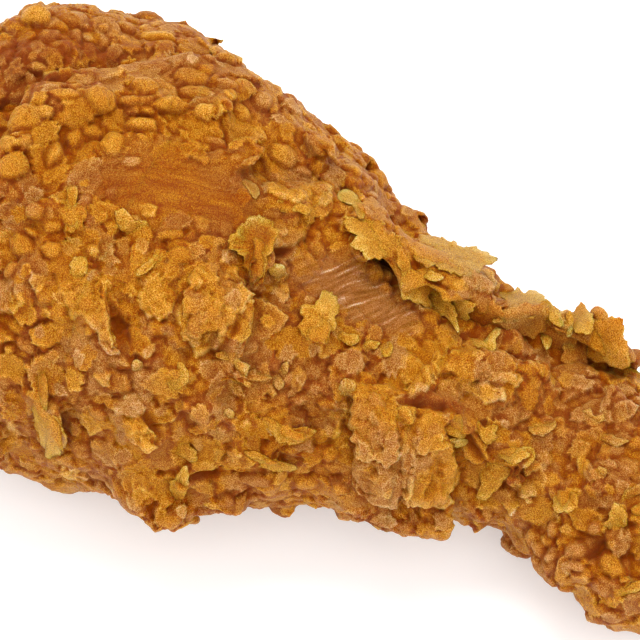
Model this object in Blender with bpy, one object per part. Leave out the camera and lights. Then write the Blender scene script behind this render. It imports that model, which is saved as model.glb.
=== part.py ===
"""A fried chicken drumstick in a craggy crust, lying on its side on a flat surface.

Metres, +Z up. X runs from the meaty end (-X) to the knuckle (+X), and -Y is the side that
shows. The core is a lofted body with the crust's relief in it. Flakes, nubbles and the big
sheets of crust are closed slabs and lumps that one Boolean union fuses to the core. Places on
the drumstick are given as x in millimetres and as an angle round it, in degrees from straight
up, positive towards -Y.
"""

import math
import random
from typing import NamedTuple

import bmesh
import bpy
import numpy as np
from mathutils import Vector, noise

MM = 0.001

# Driving dimensions of the whole
MEATY_END_X = -0.0600
KNUCKLE_END_X = 0.0600
MEATY_CAP = 0.0255  # length over which the meaty end rounds off
KNUCKLE_CAP = 0.0110
RESTING_CUT = 0.0014  # height below which the crust is pressed flat where it lies
RESTING_SLACK = 0.00006
TRIANGLE_BUDGET = 11200
TRIANGLE_STEP = 90
SURFACE_STEP = 0.00058


class Station(NamedTuple):
    """One cross-section of the core: where it is along X, its half sizes and its middle."""

    x: float
    half_width: float
    half_height: float
    middle_y: float
    middle_z: float


STATIONS = [
    Station(-0.0600, 0.0296, 0.0258, 0.0000, 0.0282),
    Station(-0.0360, 0.0296, 0.0262, 0.0000, 0.0276),
    Station(-0.0220, 0.0286, 0.0256, -0.0006, 0.0269),
    Station(-0.0080, 0.0256, 0.0234, -0.0008, 0.0256),
    Station(0.0040, 0.0204, 0.0187, -0.0004, 0.0238),
    Station(0.0150, 0.0160, 0.0154, 0.0006, 0.0215),
    Station(0.0270, 0.0128, 0.0132, 0.0026, 0.0190),
    Station(0.0360, 0.0126, 0.0124, 0.0030, 0.0172),
    Station(0.0460, 0.0138, 0.0132, 0.0012, 0.0152),
    Station(0.0520, 0.0142, 0.0136, 0.0006, 0.0143),
    Station(0.0600, 0.0138, 0.0132, 0.0000, 0.0137),
]
CORE_RINGS = 150
CORE_SPOKES = 108

# Relief of the crust all over the core
SWELL_HEIGHT = 0.0011
SWELL_SPACING = 0.0150
NUBBLE_HEIGHT = 0.0016
NUBBLE_SPACING = 0.0048
NUBBLE_REACH = 0.72  # share of the spacing over which a nubble's dome falls away
CALM_SMOOTHING = 0.9  # share of the relief that a calm area loses


class Hill(NamedTuple):
    """A smooth hill or hollow in the core: place, half lengths along and around, and height in mm."""

    x: float
    angle: float
    along: float
    around: float
    height: float


HILLS = {
    "rear lobe": Hill(-43, -40, 8, 10, 2.0),
    "rear lobe tail": Hill(-30, -62, 9, 8, 1.0),
    "bald patch": Hill(7.5, 4, 8, 5.5, -1.5),
    "under the curtain": Hill(23, -24, 12, 4, -1.0),
    "lower rim": Hill(-9, 97, 9, 4, 1.6),
    "notch behind the flap": Hill(30, 100, 3.5, 8, -1.2),
    "knuckle heel": Hill(48, 92, 8, 7, 1.6),
    "knuckle crown": Hill(46, -30, 6, 6, 0.8),
    "knuckle hollow": Hill(49, 50, 3.0, 2.5, -2.4),
}

# The rolled lip round the meaty end: its crest and its lower edge, as x against angle
LIP_CREST = (
    (-110, -12), (-80, -12), (-43, -17), (-33, -25.5), (-22, -31), (-10, -37), (10, -36), (45, -38),
    (95, -40),
)
LIP_FOOT = (
    (-110, 12), (-70, 10), (-50, 6), (-33, -2.5), (-22, -11.5), (-12, -23), (2, -31), (26, -32),
    (60, -35), (95, -37),
)
LIP_HEIGHT = 0.0021
LIP_SHOULDER = 0.0016
LIP_FADE = 25  # degrees over which each end of the lip sinks into the crust
TROUGH_DEPTH = 0.0034
TROUGH_WIDTH = 0.0017
TROUGH_BEHIND = 0.0024

# The calm area below the lip, where the crust is smooth: middle, half lengths
CALM_X, CALM_ANGLE = -0.0140, 0
CALM_ALONG, CALM_AROUND = 0.0105, 0.0060


class Sheet(NamedTuple):
    """A sheet of crust: rows of (x, angle, height), in mm and degrees, from its root to its free edge."""

    rows: tuple
    thickness: float
    raggedness: float
    crumple: float


SHEETS = {
    "curtain": Sheet(
        (
            ((1, -66, 0), (8, -72, 0), (14, -80, 0), (20, -88, 0), (28, -90, 0), (40, -84, -1)),
            ((1, -45, 1.6), (8, -48, 2.6), (14, -52, 3.4), (20, -58, 3.2), (28, -62, 3), (40, -60, 2)),
            ((1, -28, 2), (8, -26, 3), (14, -26, 3.4), (20, -34, 3.6), (28, -46, 3.6), (40, -48, 2.4)),
            ((1.5, -12, 1), (7, -4, 1.8), (13, -1, 2.0), (19, -3, 2.0), (26, -26, 2.4), (39, -36, 1.6)),
        ),
        1.7,
        0.20,
        1.2,
    ),
    "upper sheet": Sheet(
        (
            ((8, -24, 2.0), (13, -22, 2.8), (18, -24, 3.0)),
            ((9, -32, 3.0), (13, -32, 3.8), (18.5, -33, 4.4)),
            ((10, -40, 3.4), (14, -44, 4.4), (18.5, -46, 5.6)),
        ),
        1.3,
        0.18,
        0.7,
    ),
    "ruffle": Sheet(
        (
            ((20, -40, 2.2), (24, -44, 2.4), (28, -46, 2.2)),
            ((20.5, -38, 3.8), (24.5, -42, 4.4), (28, -42, 3.8)),
            ((21, -42, 5.0), (25, -46, 6.0), (28.5, -44, 4.6)),
        ),
        1.3,
        0.24,
        0.8,
    ),
    "end panel": Sheet(
        (
            ((30.5, -38, 1.8), (35, -36, 1.8), (39, -37, 1.4)),
            ((30.5, -42, 3.8), (35, -41, 4.0), (38.8, -41, 3.6)),
            ((31, -46, 5.6), (35, -46, 6.2), (38.5, -44, 5.6)),
        ),
        1.4,
        0.12,
        0.4,
    ),
    "flap": Sheet(
        (
            ((12, 31, 0.2), (17, 29, 0.4), (23, 24, 0.2)),
            ((11.5, 42, 1.8), (17.5, 43, 2.6), (24, 36, 2.2)),
            ((13, 58, 2.0), (18.5, 58, 2.8), (25, 54, 2.4)),
            ((14, 76, 1.6), (19, 82, 2.4), (26, 74, 2.4)),
        ),
        1.8,
        0.14,
        1.0,
    ),
    "flap hem": Sheet(
        (
            ((13, 80, -0.4), (19, 84, -0.4), (26.5, 76, 0.0)),
            ((13.5, 90, 1.6), (19, 93, 2.6), (27, 88, 3.0)),
            ((13.5, 101, 1.8), (18.5, 105, 3.4), (26, 103, 4.2)),
        ),
        1.9,
        0.16,
        0.7,
    ),
    "shank plate": Sheet(
        (
            ((18, 24, 0.0), (25, 14, 0.0), (32, 4, 0.0)),
            ((18.5, 12, 1.1), (25, 2, 1.6), (32, -8, 1.2)),
            ((19, 3, 1.2), (25, -7, 1.4), (31, -16, 0.8)),
        ),
        1.3,
        0.24,
        0.7,
    ),
}


class Flake(NamedTuple):
    """A flake of crust: its place, its size in mm, and its turn from the X axis and lift in degrees."""

    x: float
    angle: float
    length: float
    width: float
    turn: float
    lift: float


SHOWN_FLAKES = [
    Flake(-23.5, 21, 6.3, 2.0, 79, 14),
    Flake(-16.5, 18, 5.5, 2.8, 19, 10),
    Flake(-3.5, 9, 8.8, 4.2, 79, 14),
    Flake(-6.5, 27, 10.0, 6.0, 79, 10),
    Flake(-3.0, 28, 8.5, 4.6, 66, 14),
    Flake(-18.0, 39, 12.0, 5.0, 46, 9),
    Flake(-6.0, 49, 3.6, 2.8, -81, 22),
    Flake(-1.0, 44, 6.0, 3.2, 9, 16),
    Flake(0.0, 13, 4.8, 2.2, 59, 18),
    Flake(5.5, 18, 7.0, 4.4, 79, 20),
    Flake(11.0, 35, 2.4, 2.0, 0, 20),
    Flake(6.5, 58, 6.2, 3.0, -11, 26),
    Flake(5.0, 71, 6.4, 2.4, -6, 16),
    Flake(-19.5, 71, 11.4, 3.2, 58, 18),
    Flake(-9.0, 67, 5.0, 1.6, 17, 22),
    Flake(-8.5, 72, 5.0, 1.6, 17, 24),
    Flake(-4.5, 72, 4.4, 2.6, -1, 20),
    Flake(-4.0, 86, 4.8, 2.0, 84, 26),
    Flake(-7.5, -5, 3.0, 1.6, 29, 18),
    Flake(-3.5, -12, 7.0, 4.6, -1, 12),
    Flake(34.0, 18, 3.2, 2.0, -31, 22),
    Flake(39.0, -4, 4.6, 2.6, 70, 14),
    Flake(32.0, 38, 6.2, 3.0, -26, 22),
    Flake(32.5, 53, 5.6, 3.2, -91, 18),
    Flake(39.5, 48, 4.0, 3.6, 10, 18),
    Flake(45.5, 35, 4.2, 2.6, -91, 30),
    Flake(49.5, 60, 4.6, 2.0, -31, 28),
    Flake(-26.5, 41, 6.0, 5.0, 30, 10),
    Flake(22.5, 40, 6.5, 3.4, 60, 20),
    Flake(25.0, 38, 3.6, 2.6, 70, 24),
    Flake(28.0, 66, 5.4, 3.0, 79, 12),
    Flake(31.0, 74, 4.0, 3.0, 40, 8),
    Flake(35.0, 37, 4.0, 3.0, 20, 16),
    Flake(-43.0, -30, 4.0, 3.2, 0, 24),
    Flake(-29.5, -38, 5.8, 2.2, -4, 16),
    Flake(24.5, -14, 5.0, 3.6, -20, 12),
]

# How sheets crumple and fray
SHEET_STEP = 0.0013  # distance between the points of a sheet
SHEET_RIM = 0.0012  # width over which a sheet thins out towards its free edge
RAGGED_SPACING = 0.0036
RUMPLE_SPACING, FINE_RUMPLE_SPACING = 0.0050, 0.0022
FINE_RUMPLE = 0.6

# The crust's smaller pieces, spread all over
FLAKE_COUNT = 130
FLAKE_LENGTHS = (0.0046, 0.0098)
FLAKE_WIDTHS = (0.45, 0.8)  # share of the length
THICK_RADIUS, SHANK_SHORTENING = 0.029, 0.75  # flakes are shorter where the core is slim
FLAKE_LIFTS = (5, 18)
FLAKE_THICKNESS = 0.0014
FLAKE_STEP = 0.0014  # distance between the points of a flake
FLAKE_RISE = 0.0007  # how far the middle of a flat flake stands off the core
FLAKE_LEVER = 0.28  # share of the length by which a lifted flake's middle rises
FLAKE_RAGGEDNESS, FLAKE_RAGGED_SPACING = 0.45, 0.0024
FLAKE_CRUMPLE, FLAKE_CRUMPLE_SPACING = 0.0007, 0.0026
FLAKE_CURLS = (0.1, 0.35)  # share of the length
SHOWN_FLAKE_CLEARANCE = 0.0034
SMALLEST_BEND = 0.008  # radius round which the small pieces bend at the ends of the core
LUMP_COUNT = 230
LUMP_LENGTHS = (0.0026, 0.0054)
LUMP_WIDTHS, LUMP_HEIGHTS = (0.6, 0.95), (0.5, 0.8)  # shares of the length
LUMP_UNEVENNESS, LUMP_UNEVEN_SPACING = 0.35, 0.55
LUMP_TILT = 15
RIM_LUMP_COUNT = 7
RIM_FIRST_X, RIM_LAST_X = -0.036, 0.002
RIM_ANGLE, RIM_SPREAD, RIM_HEIGHT = 98, 4, 0.0012
RIM_LUMP_SIZES = ((0.006, 0.009), (0.0045, 0.006), (0.003, 0.004))
CALM_LIMIT = 0.3  # calmness above which no small piece stands
PLACE_JITTER, ANGLE_JITTER = 0.0015, 9
SEED = 11

CRUST_COLOUR = (0.45, 0.165, 0.026, 1.0)
CRUST_ROUGHNESS = 0.62


def smooth_through(places, values, at):
    """Values at the given places on smooth curves through the known ones."""
    places = np.asarray(places, float)
    values = np.asarray(values, float)
    slopes = np.gradient(values, places, axis=0)
    at = np.clip(np.asarray(at, float), places[0], places[-1])
    left = np.clip(np.searchsorted(places, at) - 1, 0, len(places) - 2)
    span = places[left + 1] - places[left]
    t = (at - places[left]) / span
    extra = (1,) * (values.ndim - 1)
    t = t.reshape(t.shape + extra)
    span = span.reshape(span.shape + extra)
    start, end = values[left], values[left + 1]
    rise, fall = slopes[left] * span, slopes[left + 1] * span
    return (
        start * (2 * t**3 - 3 * t**2 + 1)
        + rise * (t**3 - 2 * t**2 + t)
        + end * (3 * t**2 - 2 * t**3)
        + fall * (t**3 - t**2)
    )


def station_values(x):
    return smooth_through([s.x for s in STATIONS], [s[1:] for s in STATIONS], x)


def end_taper(x):
    """1 along the body, and an ellipse's fall to 0 over each end's cap."""
    into_meaty = (MEATY_END_X + MEATY_CAP - x) / MEATY_CAP
    into_knuckle = (x - KNUCKLE_END_X + KNUCKLE_CAP) / KNUCKLE_CAP
    into = np.clip(np.maximum(into_meaty, into_knuckle), 0, 1)
    return np.sqrt(1 - into**2)


def core_points(x, angle):
    """Points of the smooth core at x and at an angle round it."""
    x = np.asarray(x, float)
    half_width, half_height, middle_y, middle_z = np.moveaxis(station_values(x), -1, 0)
    taper = end_taper(x)
    around = np.radians(angle)
    y = middle_y - half_width * taper * np.sin(around)
    z = middle_z + half_height * taper * np.cos(around)
    return np.stack([x + 0 * y, y, z], axis=-1)


def core_directions(x, angle):
    """Unit directions along, around and out of the smooth core."""
    along = core_points(x + 1e-5, angle) - core_points(x - 1e-5, angle)
    around = core_points(x, np.asarray(angle) + 0.05) - core_points(x, np.asarray(angle) - 0.05)
    out = np.cross(around, along)
    return [v / (np.linalg.norm(v, axis=-1, keepdims=True) + 1e-15) for v in (along, around, out)]


def off_core(x, angle, height):
    """Points at a height out from the smooth core."""
    out = core_directions(x, angle)[2]
    return core_points(x, angle) + out * np.asarray(height)[..., None]


def ease(t):
    """0 to 1 with flat ends, over t from 0 to 1."""
    t = np.clip(t, 0, 1)
    return t * t * (3 - 2 * t)


def apart(x, angle, centre_x, centre_angle):
    """Distances along and around the core from a centre, in metres."""
    turn = (np.asarray(angle) - centre_angle + 180) % 360 - 180
    radius = station_values(x)[..., 0]
    return x - centre_x, np.radians(turn) * radius


def hill_relief(x, angle):
    total = np.zeros(np.shape(x))
    for hill in HILLS.values():
        along, around = apart(x, angle, hill.x * MM, hill.angle)
        fall = (along / (hill.along * MM)) ** 2 + (around / (hill.around * MM)) ** 2
        total += hill.height * MM * np.exp(-fall)
    return total


def lip_relief(x, angle):
    """The rolled lip round the meaty end, with the trough behind it."""
    turn = (np.asarray(angle) + 180) % 360 - 180
    crest = MM * smooth_through(*zip(*LIP_CREST), turn)
    foot = MM * smooth_through(*zip(*LIP_FOOT), turn)
    body = ease((x - crest) / LIP_SHOULDER + 0.5) * (1 - ease((x - foot) / LIP_SHOULDER + 0.5))
    trough = np.exp(-(((x - crest + TROUGH_BEHIND) / TROUGH_WIDTH) ** 2))
    first, last = LIP_CREST[0][0], LIP_CREST[-1][0]
    held = ease((turn - first) / LIP_FADE) * ease((last - turn) / LIP_FADE)
    return held * (LIP_HEIGHT * body - TROUGH_DEPTH * trough)


def calmness(x, angle):
    """1 in the middle of the calm area and the bald patch, 0 away from them."""
    along, around = apart(x, angle, CALM_X, CALM_ANGLE)
    calm = np.exp(-((along / CALM_ALONG) ** 4) - (around / CALM_AROUND) ** 4)
    patch = HILLS["bald patch"]
    along, around = apart(x, angle, patch.x * MM, patch.angle)
    bald = np.exp(-((along / (patch.along * MM)) ** 4) - (around / (patch.around * MM)) ** 4)
    return np.maximum(calm, bald)


def crust_relief(points):
    """Heights of the crust's swells and nubbles at points of the smooth core."""
    heights = np.empty(len(points))
    for i, point in enumerate(points):
        place = Vector(point)
        swell = noise.noise(place / SWELL_SPACING)
        nearest = noise.voronoi(place / NUBBLE_SPACING)[0][0]
        dome = max(0.0, 1 - (nearest / NUBBLE_REACH) ** 2)
        heights[i] = SWELL_HEIGHT * swell + NUBBLE_HEIGHT * (dome - 0.5)
    return heights


def core_mesh():
    """The core as a closed mesh of rings, closer together where the ends round off."""
    turn = np.linspace(0, math.pi, CORE_RINGS)
    even = np.linspace(-1, 1, CORE_RINGS)
    spacing = 0.5 * even - 0.5 * np.cos(turn)
    xs = (MEATY_END_X + (KNUCKLE_END_X - MEATY_END_X) * (spacing + 1) / 2)[1:-1]
    angles = np.arange(CORE_SPOKES) * 360 / CORE_SPOKES
    x, angle = np.meshgrid(xs, angles, indexing="ij")
    rough = crust_relief(core_points(x, angle).reshape(-1, 3)).reshape(x.shape)
    rough *= 1 - CALM_SMOOTHING * calmness(x, angle)
    points = off_core(x, angle, hill_relief(x, angle) + lip_relief(x, angle) + rough)
    mesh = bmesh.new()
    rings = [[mesh.verts.new(p) for p in ring] for ring in points]
    for ring, after in zip(rings, rings[1:]):
        for i in range(CORE_SPOKES):
            j = (i + 1) % CORE_SPOKES
            mesh.faces.new((ring[i], ring[j], after[j], after[i]))
    for ring, tip_x in ((rings[0], MEATY_END_X), (rings[-1], KNUCKLE_END_X)):
        tip = mesh.verts.new(core_points(np.array([tip_x]), np.array([0.0]))[0])
        for i in range(CORE_SPOKES):
            mesh.faces.new((ring[i], ring[(i + 1) % CORE_SPOKES], tip))
    bmesh.ops.recalc_face_normals(mesh, faces=mesh.faces)
    return mesh


def slab_mesh(middle, thickness):
    """A closed slab round a grid of points, with a thickness for each point."""
    down, across = np.gradient(middle, axis=0), np.gradient(middle, axis=1)
    out = np.cross(down, across)
    out /= np.linalg.norm(out, axis=-1, keepdims=True) + 1e-15
    half = out * thickness[..., None] / 2
    mesh = bmesh.new()
    top = [[mesh.verts.new(p) for p in row] for row in middle + half]
    bottom = [[mesh.verts.new(p) for p in row] for row in middle - half]
    rows, columns = middle.shape[:2]
    for r in range(rows - 1):
        for c in range(columns - 1):
            mesh.faces.new((top[r][c], top[r][c + 1], top[r + 1][c + 1], top[r + 1][c]))
            mesh.faces.new((bottom[r][c], bottom[r + 1][c], bottom[r + 1][c + 1], bottom[r][c + 1]))
    border = [(0, c) for c in range(columns - 1)] + [(r, columns - 1) for r in range(rows - 1)]
    border += [(rows - 1, c) for c in range(columns - 1, 0, -1)]
    border += [(r, 0) for r in range(rows - 1, 0, -1)]
    for here, there in zip(border, border[1:] + border[:1]):
        over, under = top[here[0]][here[1]], bottom[here[0]][here[1]]
        next_over, next_under = top[there[0]][there[1]], bottom[there[0]][there[1]]
        mesh.faces.new((over, under, next_under, next_over))
    bmesh.ops.recalc_face_normals(mesh, faces=mesh.faces)
    return mesh


def wobble(points, spacing, shift):
    """Smooth noise from -1 to 1 at each point."""
    flat = [noise.noise(Vector(p) / spacing + Vector((shift, 0, 0))) for p in points.reshape(-1, 3)]
    return np.array(flat).reshape(points.shape[:-1])


def sheet_mesh(sheet, seed):
    """A big sheet of crust through its rows, crumpled, with a ragged free edge."""
    rows = np.array(sheet.rows, float)
    places = off_core(rows[..., 0] * MM, rows[..., 1], rows[..., 2] * MM)
    length = np.linalg.norm(np.diff(places[-1], axis=0), axis=-1).sum()
    depth = np.linalg.norm(np.diff(places[:, 0], axis=0), axis=-1).sum()
    u = np.linspace(0, 1, max(5, round(length / SHEET_STEP)))
    v = np.linspace(0, 1, max(5, round(depth / SHEET_STEP)))
    knots_u = np.linspace(0, 1, rows.shape[1])
    knots_v = np.linspace(0, 1, rows.shape[0])
    edge = np.array([noise.noise(Vector((length * s / RAGGED_SPACING, seed, 0))) for s in u])
    along = np.swapaxes(smooth_through(knots_u, np.swapaxes(rows, 0, 1), u), 0, 1)
    grid = np.empty((len(v), len(u), 3))
    for c in range(len(u)):
        reach = 1 - sheet.raggedness * (0.5 + edge[c])
        grid[:, c] = smooth_through(knots_v, along[:, c], v * reach)
    first = off_core(grid[..., 0] * MM, grid[..., 1], grid[..., 2] * MM)
    rumple = wobble(first, RUMPLE_SPACING, seed)
    rumple += FINE_RUMPLE * wobble(first, FINE_RUMPLE_SPACING, seed + 7)
    height = grid[..., 2] * MM + sheet.crumple * MM * rumple * ease(v * 2)[:, None]
    middle = off_core(grid[..., 0] * MM, grid[..., 1], height)
    inside = np.minimum(u, 1 - u)[None, :] * length / SHEET_RIM
    toward_rim = np.minimum((1 - v)[:, None] * depth / SHEET_RIM, inside)
    thickness = sheet.thickness * MM * (0.45 + 0.55 * ease(toward_rim))
    return slab_mesh(middle, thickness)


def placed(points, x, angle, turn, lift, height):
    """Points of a small piece, bent round the core, turned, lifted and set at a height on its hills."""
    x, angle = np.array([x]), np.array([angle])
    along, around, out = (d[0] for d in core_directions(x, angle))
    spin, rise = math.radians(turn), math.radians(lift)
    radius = max(station_values(x)[0, 0] * end_taper(x)[0], SMALLEST_BEND)
    points = np.array(points)
    across = points[..., 0] * math.sin(spin) + points[..., 1] * math.cos(spin)
    points[..., 2] -= across**2 / (2 * radius)
    forward = along * math.cos(spin) + around * math.sin(spin)
    sideways = along * -math.sin(spin) + around * math.cos(spin)
    tilted = forward * math.cos(rise) + out * math.sin(rise)
    upward = out * math.cos(rise) - forward * math.sin(rise)
    base = off_core(x, angle, height + hill_relief(x, angle) + lip_relief(x, angle))[0]
    return base + points @ np.array([tilted, sideways, upward])


def flake_mesh(flake, rng):
    """A thin ragged flake whose lower end is sunk in the crust and whose other end stands off it."""
    length, width = flake.length * MM, flake.width * MM
    rows, columns = max(4, round(length / FLAKE_STEP)), max(4, round(width / FLAKE_STEP))
    s, t = np.meshgrid(np.linspace(-1, 1, rows), np.linspace(-1, 1, columns), indexing="ij")
    oval_s, oval_t = s * np.sqrt(1 - t**2 / 2), t * np.sqrt(1 - s**2 / 2)
    seed = rng.uniform(0, 100)
    rim = np.maximum(np.abs(s), np.abs(t)) ** 3
    flat = np.stack([oval_s * length / 2, oval_t * width / 2, 0 * s], axis=-1)
    ragged = 1 + FLAKE_RAGGEDNESS * rim * wobble(flat, FLAKE_RAGGED_SPACING, seed)
    curl = rng.uniform(*FLAKE_CURLS) * length
    crumple = FLAKE_CRUMPLE * wobble(flat, FLAKE_CRUMPLE_SPACING, seed + 31)
    middle = flat * ragged[..., None]
    middle[..., 2] = crumple + curl * (t**2) * 0.35 - curl * (s**2) * 0.2
    body = FLAKE_THICKNESS * (0.4 + 0.6 * (1 - rim))
    rise = FLAKE_RISE + FLAKE_LEVER * length * math.sin(math.radians(flake.lift))
    middle = placed(middle, flake.x * MM, flake.angle, flake.turn, flake.lift, rise)
    return slab_mesh(middle, body)


def lump_mesh(x, angle, sizes, height, rng):
    """A rounded uneven lump."""
    mesh = bmesh.new()
    bmesh.ops.create_icosphere(mesh, subdivisions=2, radius=0.5)
    seed = rng.uniform(0, 100)
    points = np.array([v.co for v in mesh.verts])
    points *= (1 + LUMP_UNEVENNESS * wobble(points, LUMP_UNEVEN_SPACING, seed))[:, None]
    turn, tilt = rng.uniform(0, 180), rng.uniform(-LUMP_TILT, LUMP_TILT)
    points = placed(points * np.array(sizes), x, angle, turn, tilt, height)
    for vertex, point in zip(mesh.verts, points):
        vertex.co = point
    return mesh


def spread_places(count, rng, ends=0.0015):
    """Places spread evenly over the core, by its girth along X and the golden angle round it."""
    xs = np.linspace(MEATY_END_X + ends, KNUCKLE_END_X - ends, 400)
    girth = station_values(xs)[:, 0] * end_taper(xs) + 0.002
    reached = np.cumsum(girth) / girth.sum()
    golden = 360 * (1 - 2 / (1 + math.sqrt(5)))
    places = []
    for i in range(count):
        x = np.interp((i + 0.5) / count, reached, xs) + rng.uniform(-PLACE_JITTER, PLACE_JITTER)
        angle = (i * golden + rng.uniform(-ANGLE_JITTER, ANGLE_JITTER)) % 360
        places.append((x, angle))
    return places


def near_shown_flake(x, angle):
    for flake in SHOWN_FLAKES:
        along, around = apart(x, angle, flake.x * MM, flake.angle)
        if math.hypot(along, around) < SHOWN_FLAKE_CLEARANCE:
            return True
    return False


def clear_scene():
    for old in list(bpy.data.objects):
        bpy.data.objects.remove(old, do_unlink=True)


def add_object(name, mesh, collection):
    data = bpy.data.meshes.new(name)
    mesh.to_mesh(data)
    mesh.free()
    made = bpy.data.objects.new(name, data)
    collection.objects.link(made)
    return made


def crust_pieces(rng):
    """Every sheet, flake and lump of the crust, as a name and a mesh."""
    for number, (name, sheet) in enumerate(SHEETS.items()):
        yield name, sheet_mesh(sheet, 3.7 * (number + 1))
    for flake in SHOWN_FLAKES:
        yield "shown flake", flake_mesh(flake, rng)
    for x, angle in spread_places(FLAKE_COUNT, rng):
        slimness = 1 - min(1, station_values(x)[0] / THICK_RADIUS)
        length = rng.uniform(*FLAKE_LENGTHS) * (1 - SHANK_SHORTENING * slimness) / MM
        width = length * rng.uniform(*FLAKE_WIDTHS)
        turn, lift = rng.uniform(0, 360), rng.uniform(*FLAKE_LIFTS)
        if calmness(x, angle) < CALM_LIMIT and not near_shown_flake(x, angle):
            yield "flake", flake_mesh(Flake(x / MM, angle, length, width, turn, lift), rng)
    for x, angle in spread_places(LUMP_COUNT, rng):
        length = rng.uniform(*LUMP_LENGTHS)
        sizes = (length, length * rng.uniform(*LUMP_WIDTHS), length * rng.uniform(*LUMP_HEIGHTS))
        if calmness(x, angle) < CALM_LIMIT:
            yield "lump", lump_mesh(x, angle, sizes, 0.1 * length, rng)
    for i in range(RIM_LUMP_COUNT):
        along_rim = (i + rng.uniform(0.2, 0.8)) / RIM_LUMP_COUNT
        x = RIM_FIRST_X + (RIM_LAST_X - RIM_FIRST_X) * along_rim
        sizes = [rng.uniform(*limits) for limits in RIM_LUMP_SIZES]
        angle = RIM_ANGLE + rng.uniform(-RIM_SPREAD, RIM_SPREAD)
        yield "rim lump", lump_mesh(x, angle, sizes, RIM_HEIGHT, rng)


def apply_modifiers(obj):
    """Turns what the modifiers make into the object's own mesh."""
    graph = bpy.context.evaluated_depsgraph_get()
    made = bpy.data.meshes.new_from_object(obj.evaluated_get(graph))
    obj.modifiers.clear()
    obj.data = made


def fuse(obj, collection):
    """Joins the collection's pieces to the object, and removes the pieces."""
    union = obj.modifiers.new("fuse crust", "BOOLEAN")
    union.operation = "UNION"
    union.operand_type = "COLLECTION"
    union.collection = collection
    union.solver = "MANIFOLD"
    apply_modifiers(obj)
    for piece in list(collection.objects):
        bpy.data.objects.remove(piece, do_unlink=True)
    bpy.data.collections.remove(collection)


def keep_outer_shell(obj):
    """Drops loose scraps and the walls of hollows that the fusing sealed."""
    mesh = bmesh.new()
    mesh.from_mesh(obj.data)
    waiting = set(mesh.verts)
    shells = []
    while waiting:
        reached = [waiting.pop()]
        shell = []
        while reached:
            vertex = reached.pop()
            shell.append(vertex)
            for edge in vertex.link_edges:
                other = edge.other_vert(vertex)
                if other in waiting:
                    waiting.remove(other)
                    reached.append(other)
        shells.append(shell)
    largest = max(shells, key=len)
    for shell in shells:
        if shell is not largest:
            bmesh.ops.delete(mesh, geom=shell, context="VERTS")
    mesh.to_mesh(obj.data)
    mesh.free()


def even_out(obj):
    """Rebuilds the fused surface in small even faces."""
    remesh = obj.modifiers.new("even out", "REMESH")
    remesh.mode = "VOXEL"
    remesh.voxel_size = SURFACE_STEP
    apply_modifiers(obj)


def press_flat(obj):
    """Cuts off what reaches below the surface that the drumstick lies on."""
    block = bmesh.new()
    width, depth = 0.2, 0.02
    bmesh.ops.create_cube(block, size=1.0)
    bmesh.ops.scale(block, verts=block.verts, vec=(width, width, depth))
    bmesh.ops.translate(block, verts=block.verts, vec=(0, 0, RESTING_CUT - depth / 2))
    cutter = add_object("surface", block, bpy.context.scene.collection)
    cut = obj.modifiers.new("press flat", "BOOLEAN")
    cut.operation = "DIFFERENCE"
    cut.object = cutter
    cut.solver = "MANIFOLD"
    apply_modifiers(obj)
    bpy.data.objects.remove(cutter, do_unlink=True)


def is_closed(data):
    """Whether every edge joins two faces and every point has one ring of them."""
    mesh = bmesh.new()
    mesh.from_mesh(data)
    closed = all(edge.is_manifold for edge in mesh.edges)
    closed = closed and all(vertex.is_manifold for vertex in mesh.verts)
    mesh.free()
    return closed


def thin_out(obj):
    """Collapses edges until the object is within its budget of triangles and still closed."""
    full = obj.data
    full.calc_loop_triangles()
    for triangles in range(TRIANGLE_BUDGET, TRIANGLE_BUDGET // 2, -TRIANGLE_STEP):
        obj.data = full
        thin = obj.modifiers.new("thin out", "DECIMATE")
        thin.ratio = min(1.0, triangles / len(full.loop_triangles))
        thin.use_collapse_triangulate = True
        apply_modifiers(obj)
        if is_closed(obj.data):
            return


def settle_underside(obj):
    """Sets the points next to the surface that the drumstick lies on exactly on it."""
    for vertex in obj.data.vertices:
        if vertex.co.z < RESTING_CUT + RESTING_SLACK:
            vertex.co.z = RESTING_CUT


def set_origin(obj):
    """Moves the mesh so that the origin is under the middle of its box, on the surface it lies on."""
    points = np.array([v.co for v in obj.data.vertices])
    low, high = points.min(axis=0), points.max(axis=0)
    shift = np.array([(low[0] + high[0]) / 2, (low[1] + high[1]) / 2, low[2]])
    for vertex, point in zip(obj.data.vertices, points - shift):
        vertex.co = point


def crust_material():
    material = bpy.data.materials.new("crust")
    material.use_nodes = True
    shader = material.node_tree.nodes["Principled BSDF"]
    shader.inputs["Base Color"].default_value = CRUST_COLOUR
    shader.inputs["Roughness"].default_value = CRUST_ROUGHNESS
    shader.inputs["Metallic"].default_value = 0.0
    material.diffuse_color = CRUST_COLOUR
    return material


def main():
    clear_scene()
    rng = random.Random(SEED)
    drumstick = add_object("drumstick", core_mesh(), bpy.context.scene.collection)
    pieces = bpy.data.collections.new("crust pieces")
    for name, mesh in crust_pieces(rng):
        add_object(name, mesh, pieces)
    fuse(drumstick, pieces)
    keep_outer_shell(drumstick)
    even_out(drumstick)
    keep_outer_shell(drumstick)
    press_flat(drumstick)
    keep_outer_shell(drumstick)
    thin_out(drumstick)
    settle_underside(drumstick)
    set_origin(drumstick)
    drumstick.data.materials.clear()
    drumstick.data.materials.append(crust_material())


main()
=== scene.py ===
import math
import random

import bpy
import numpy as np
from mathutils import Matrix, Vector, noise
from mathutils.bvhtree import BVHTree


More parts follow.
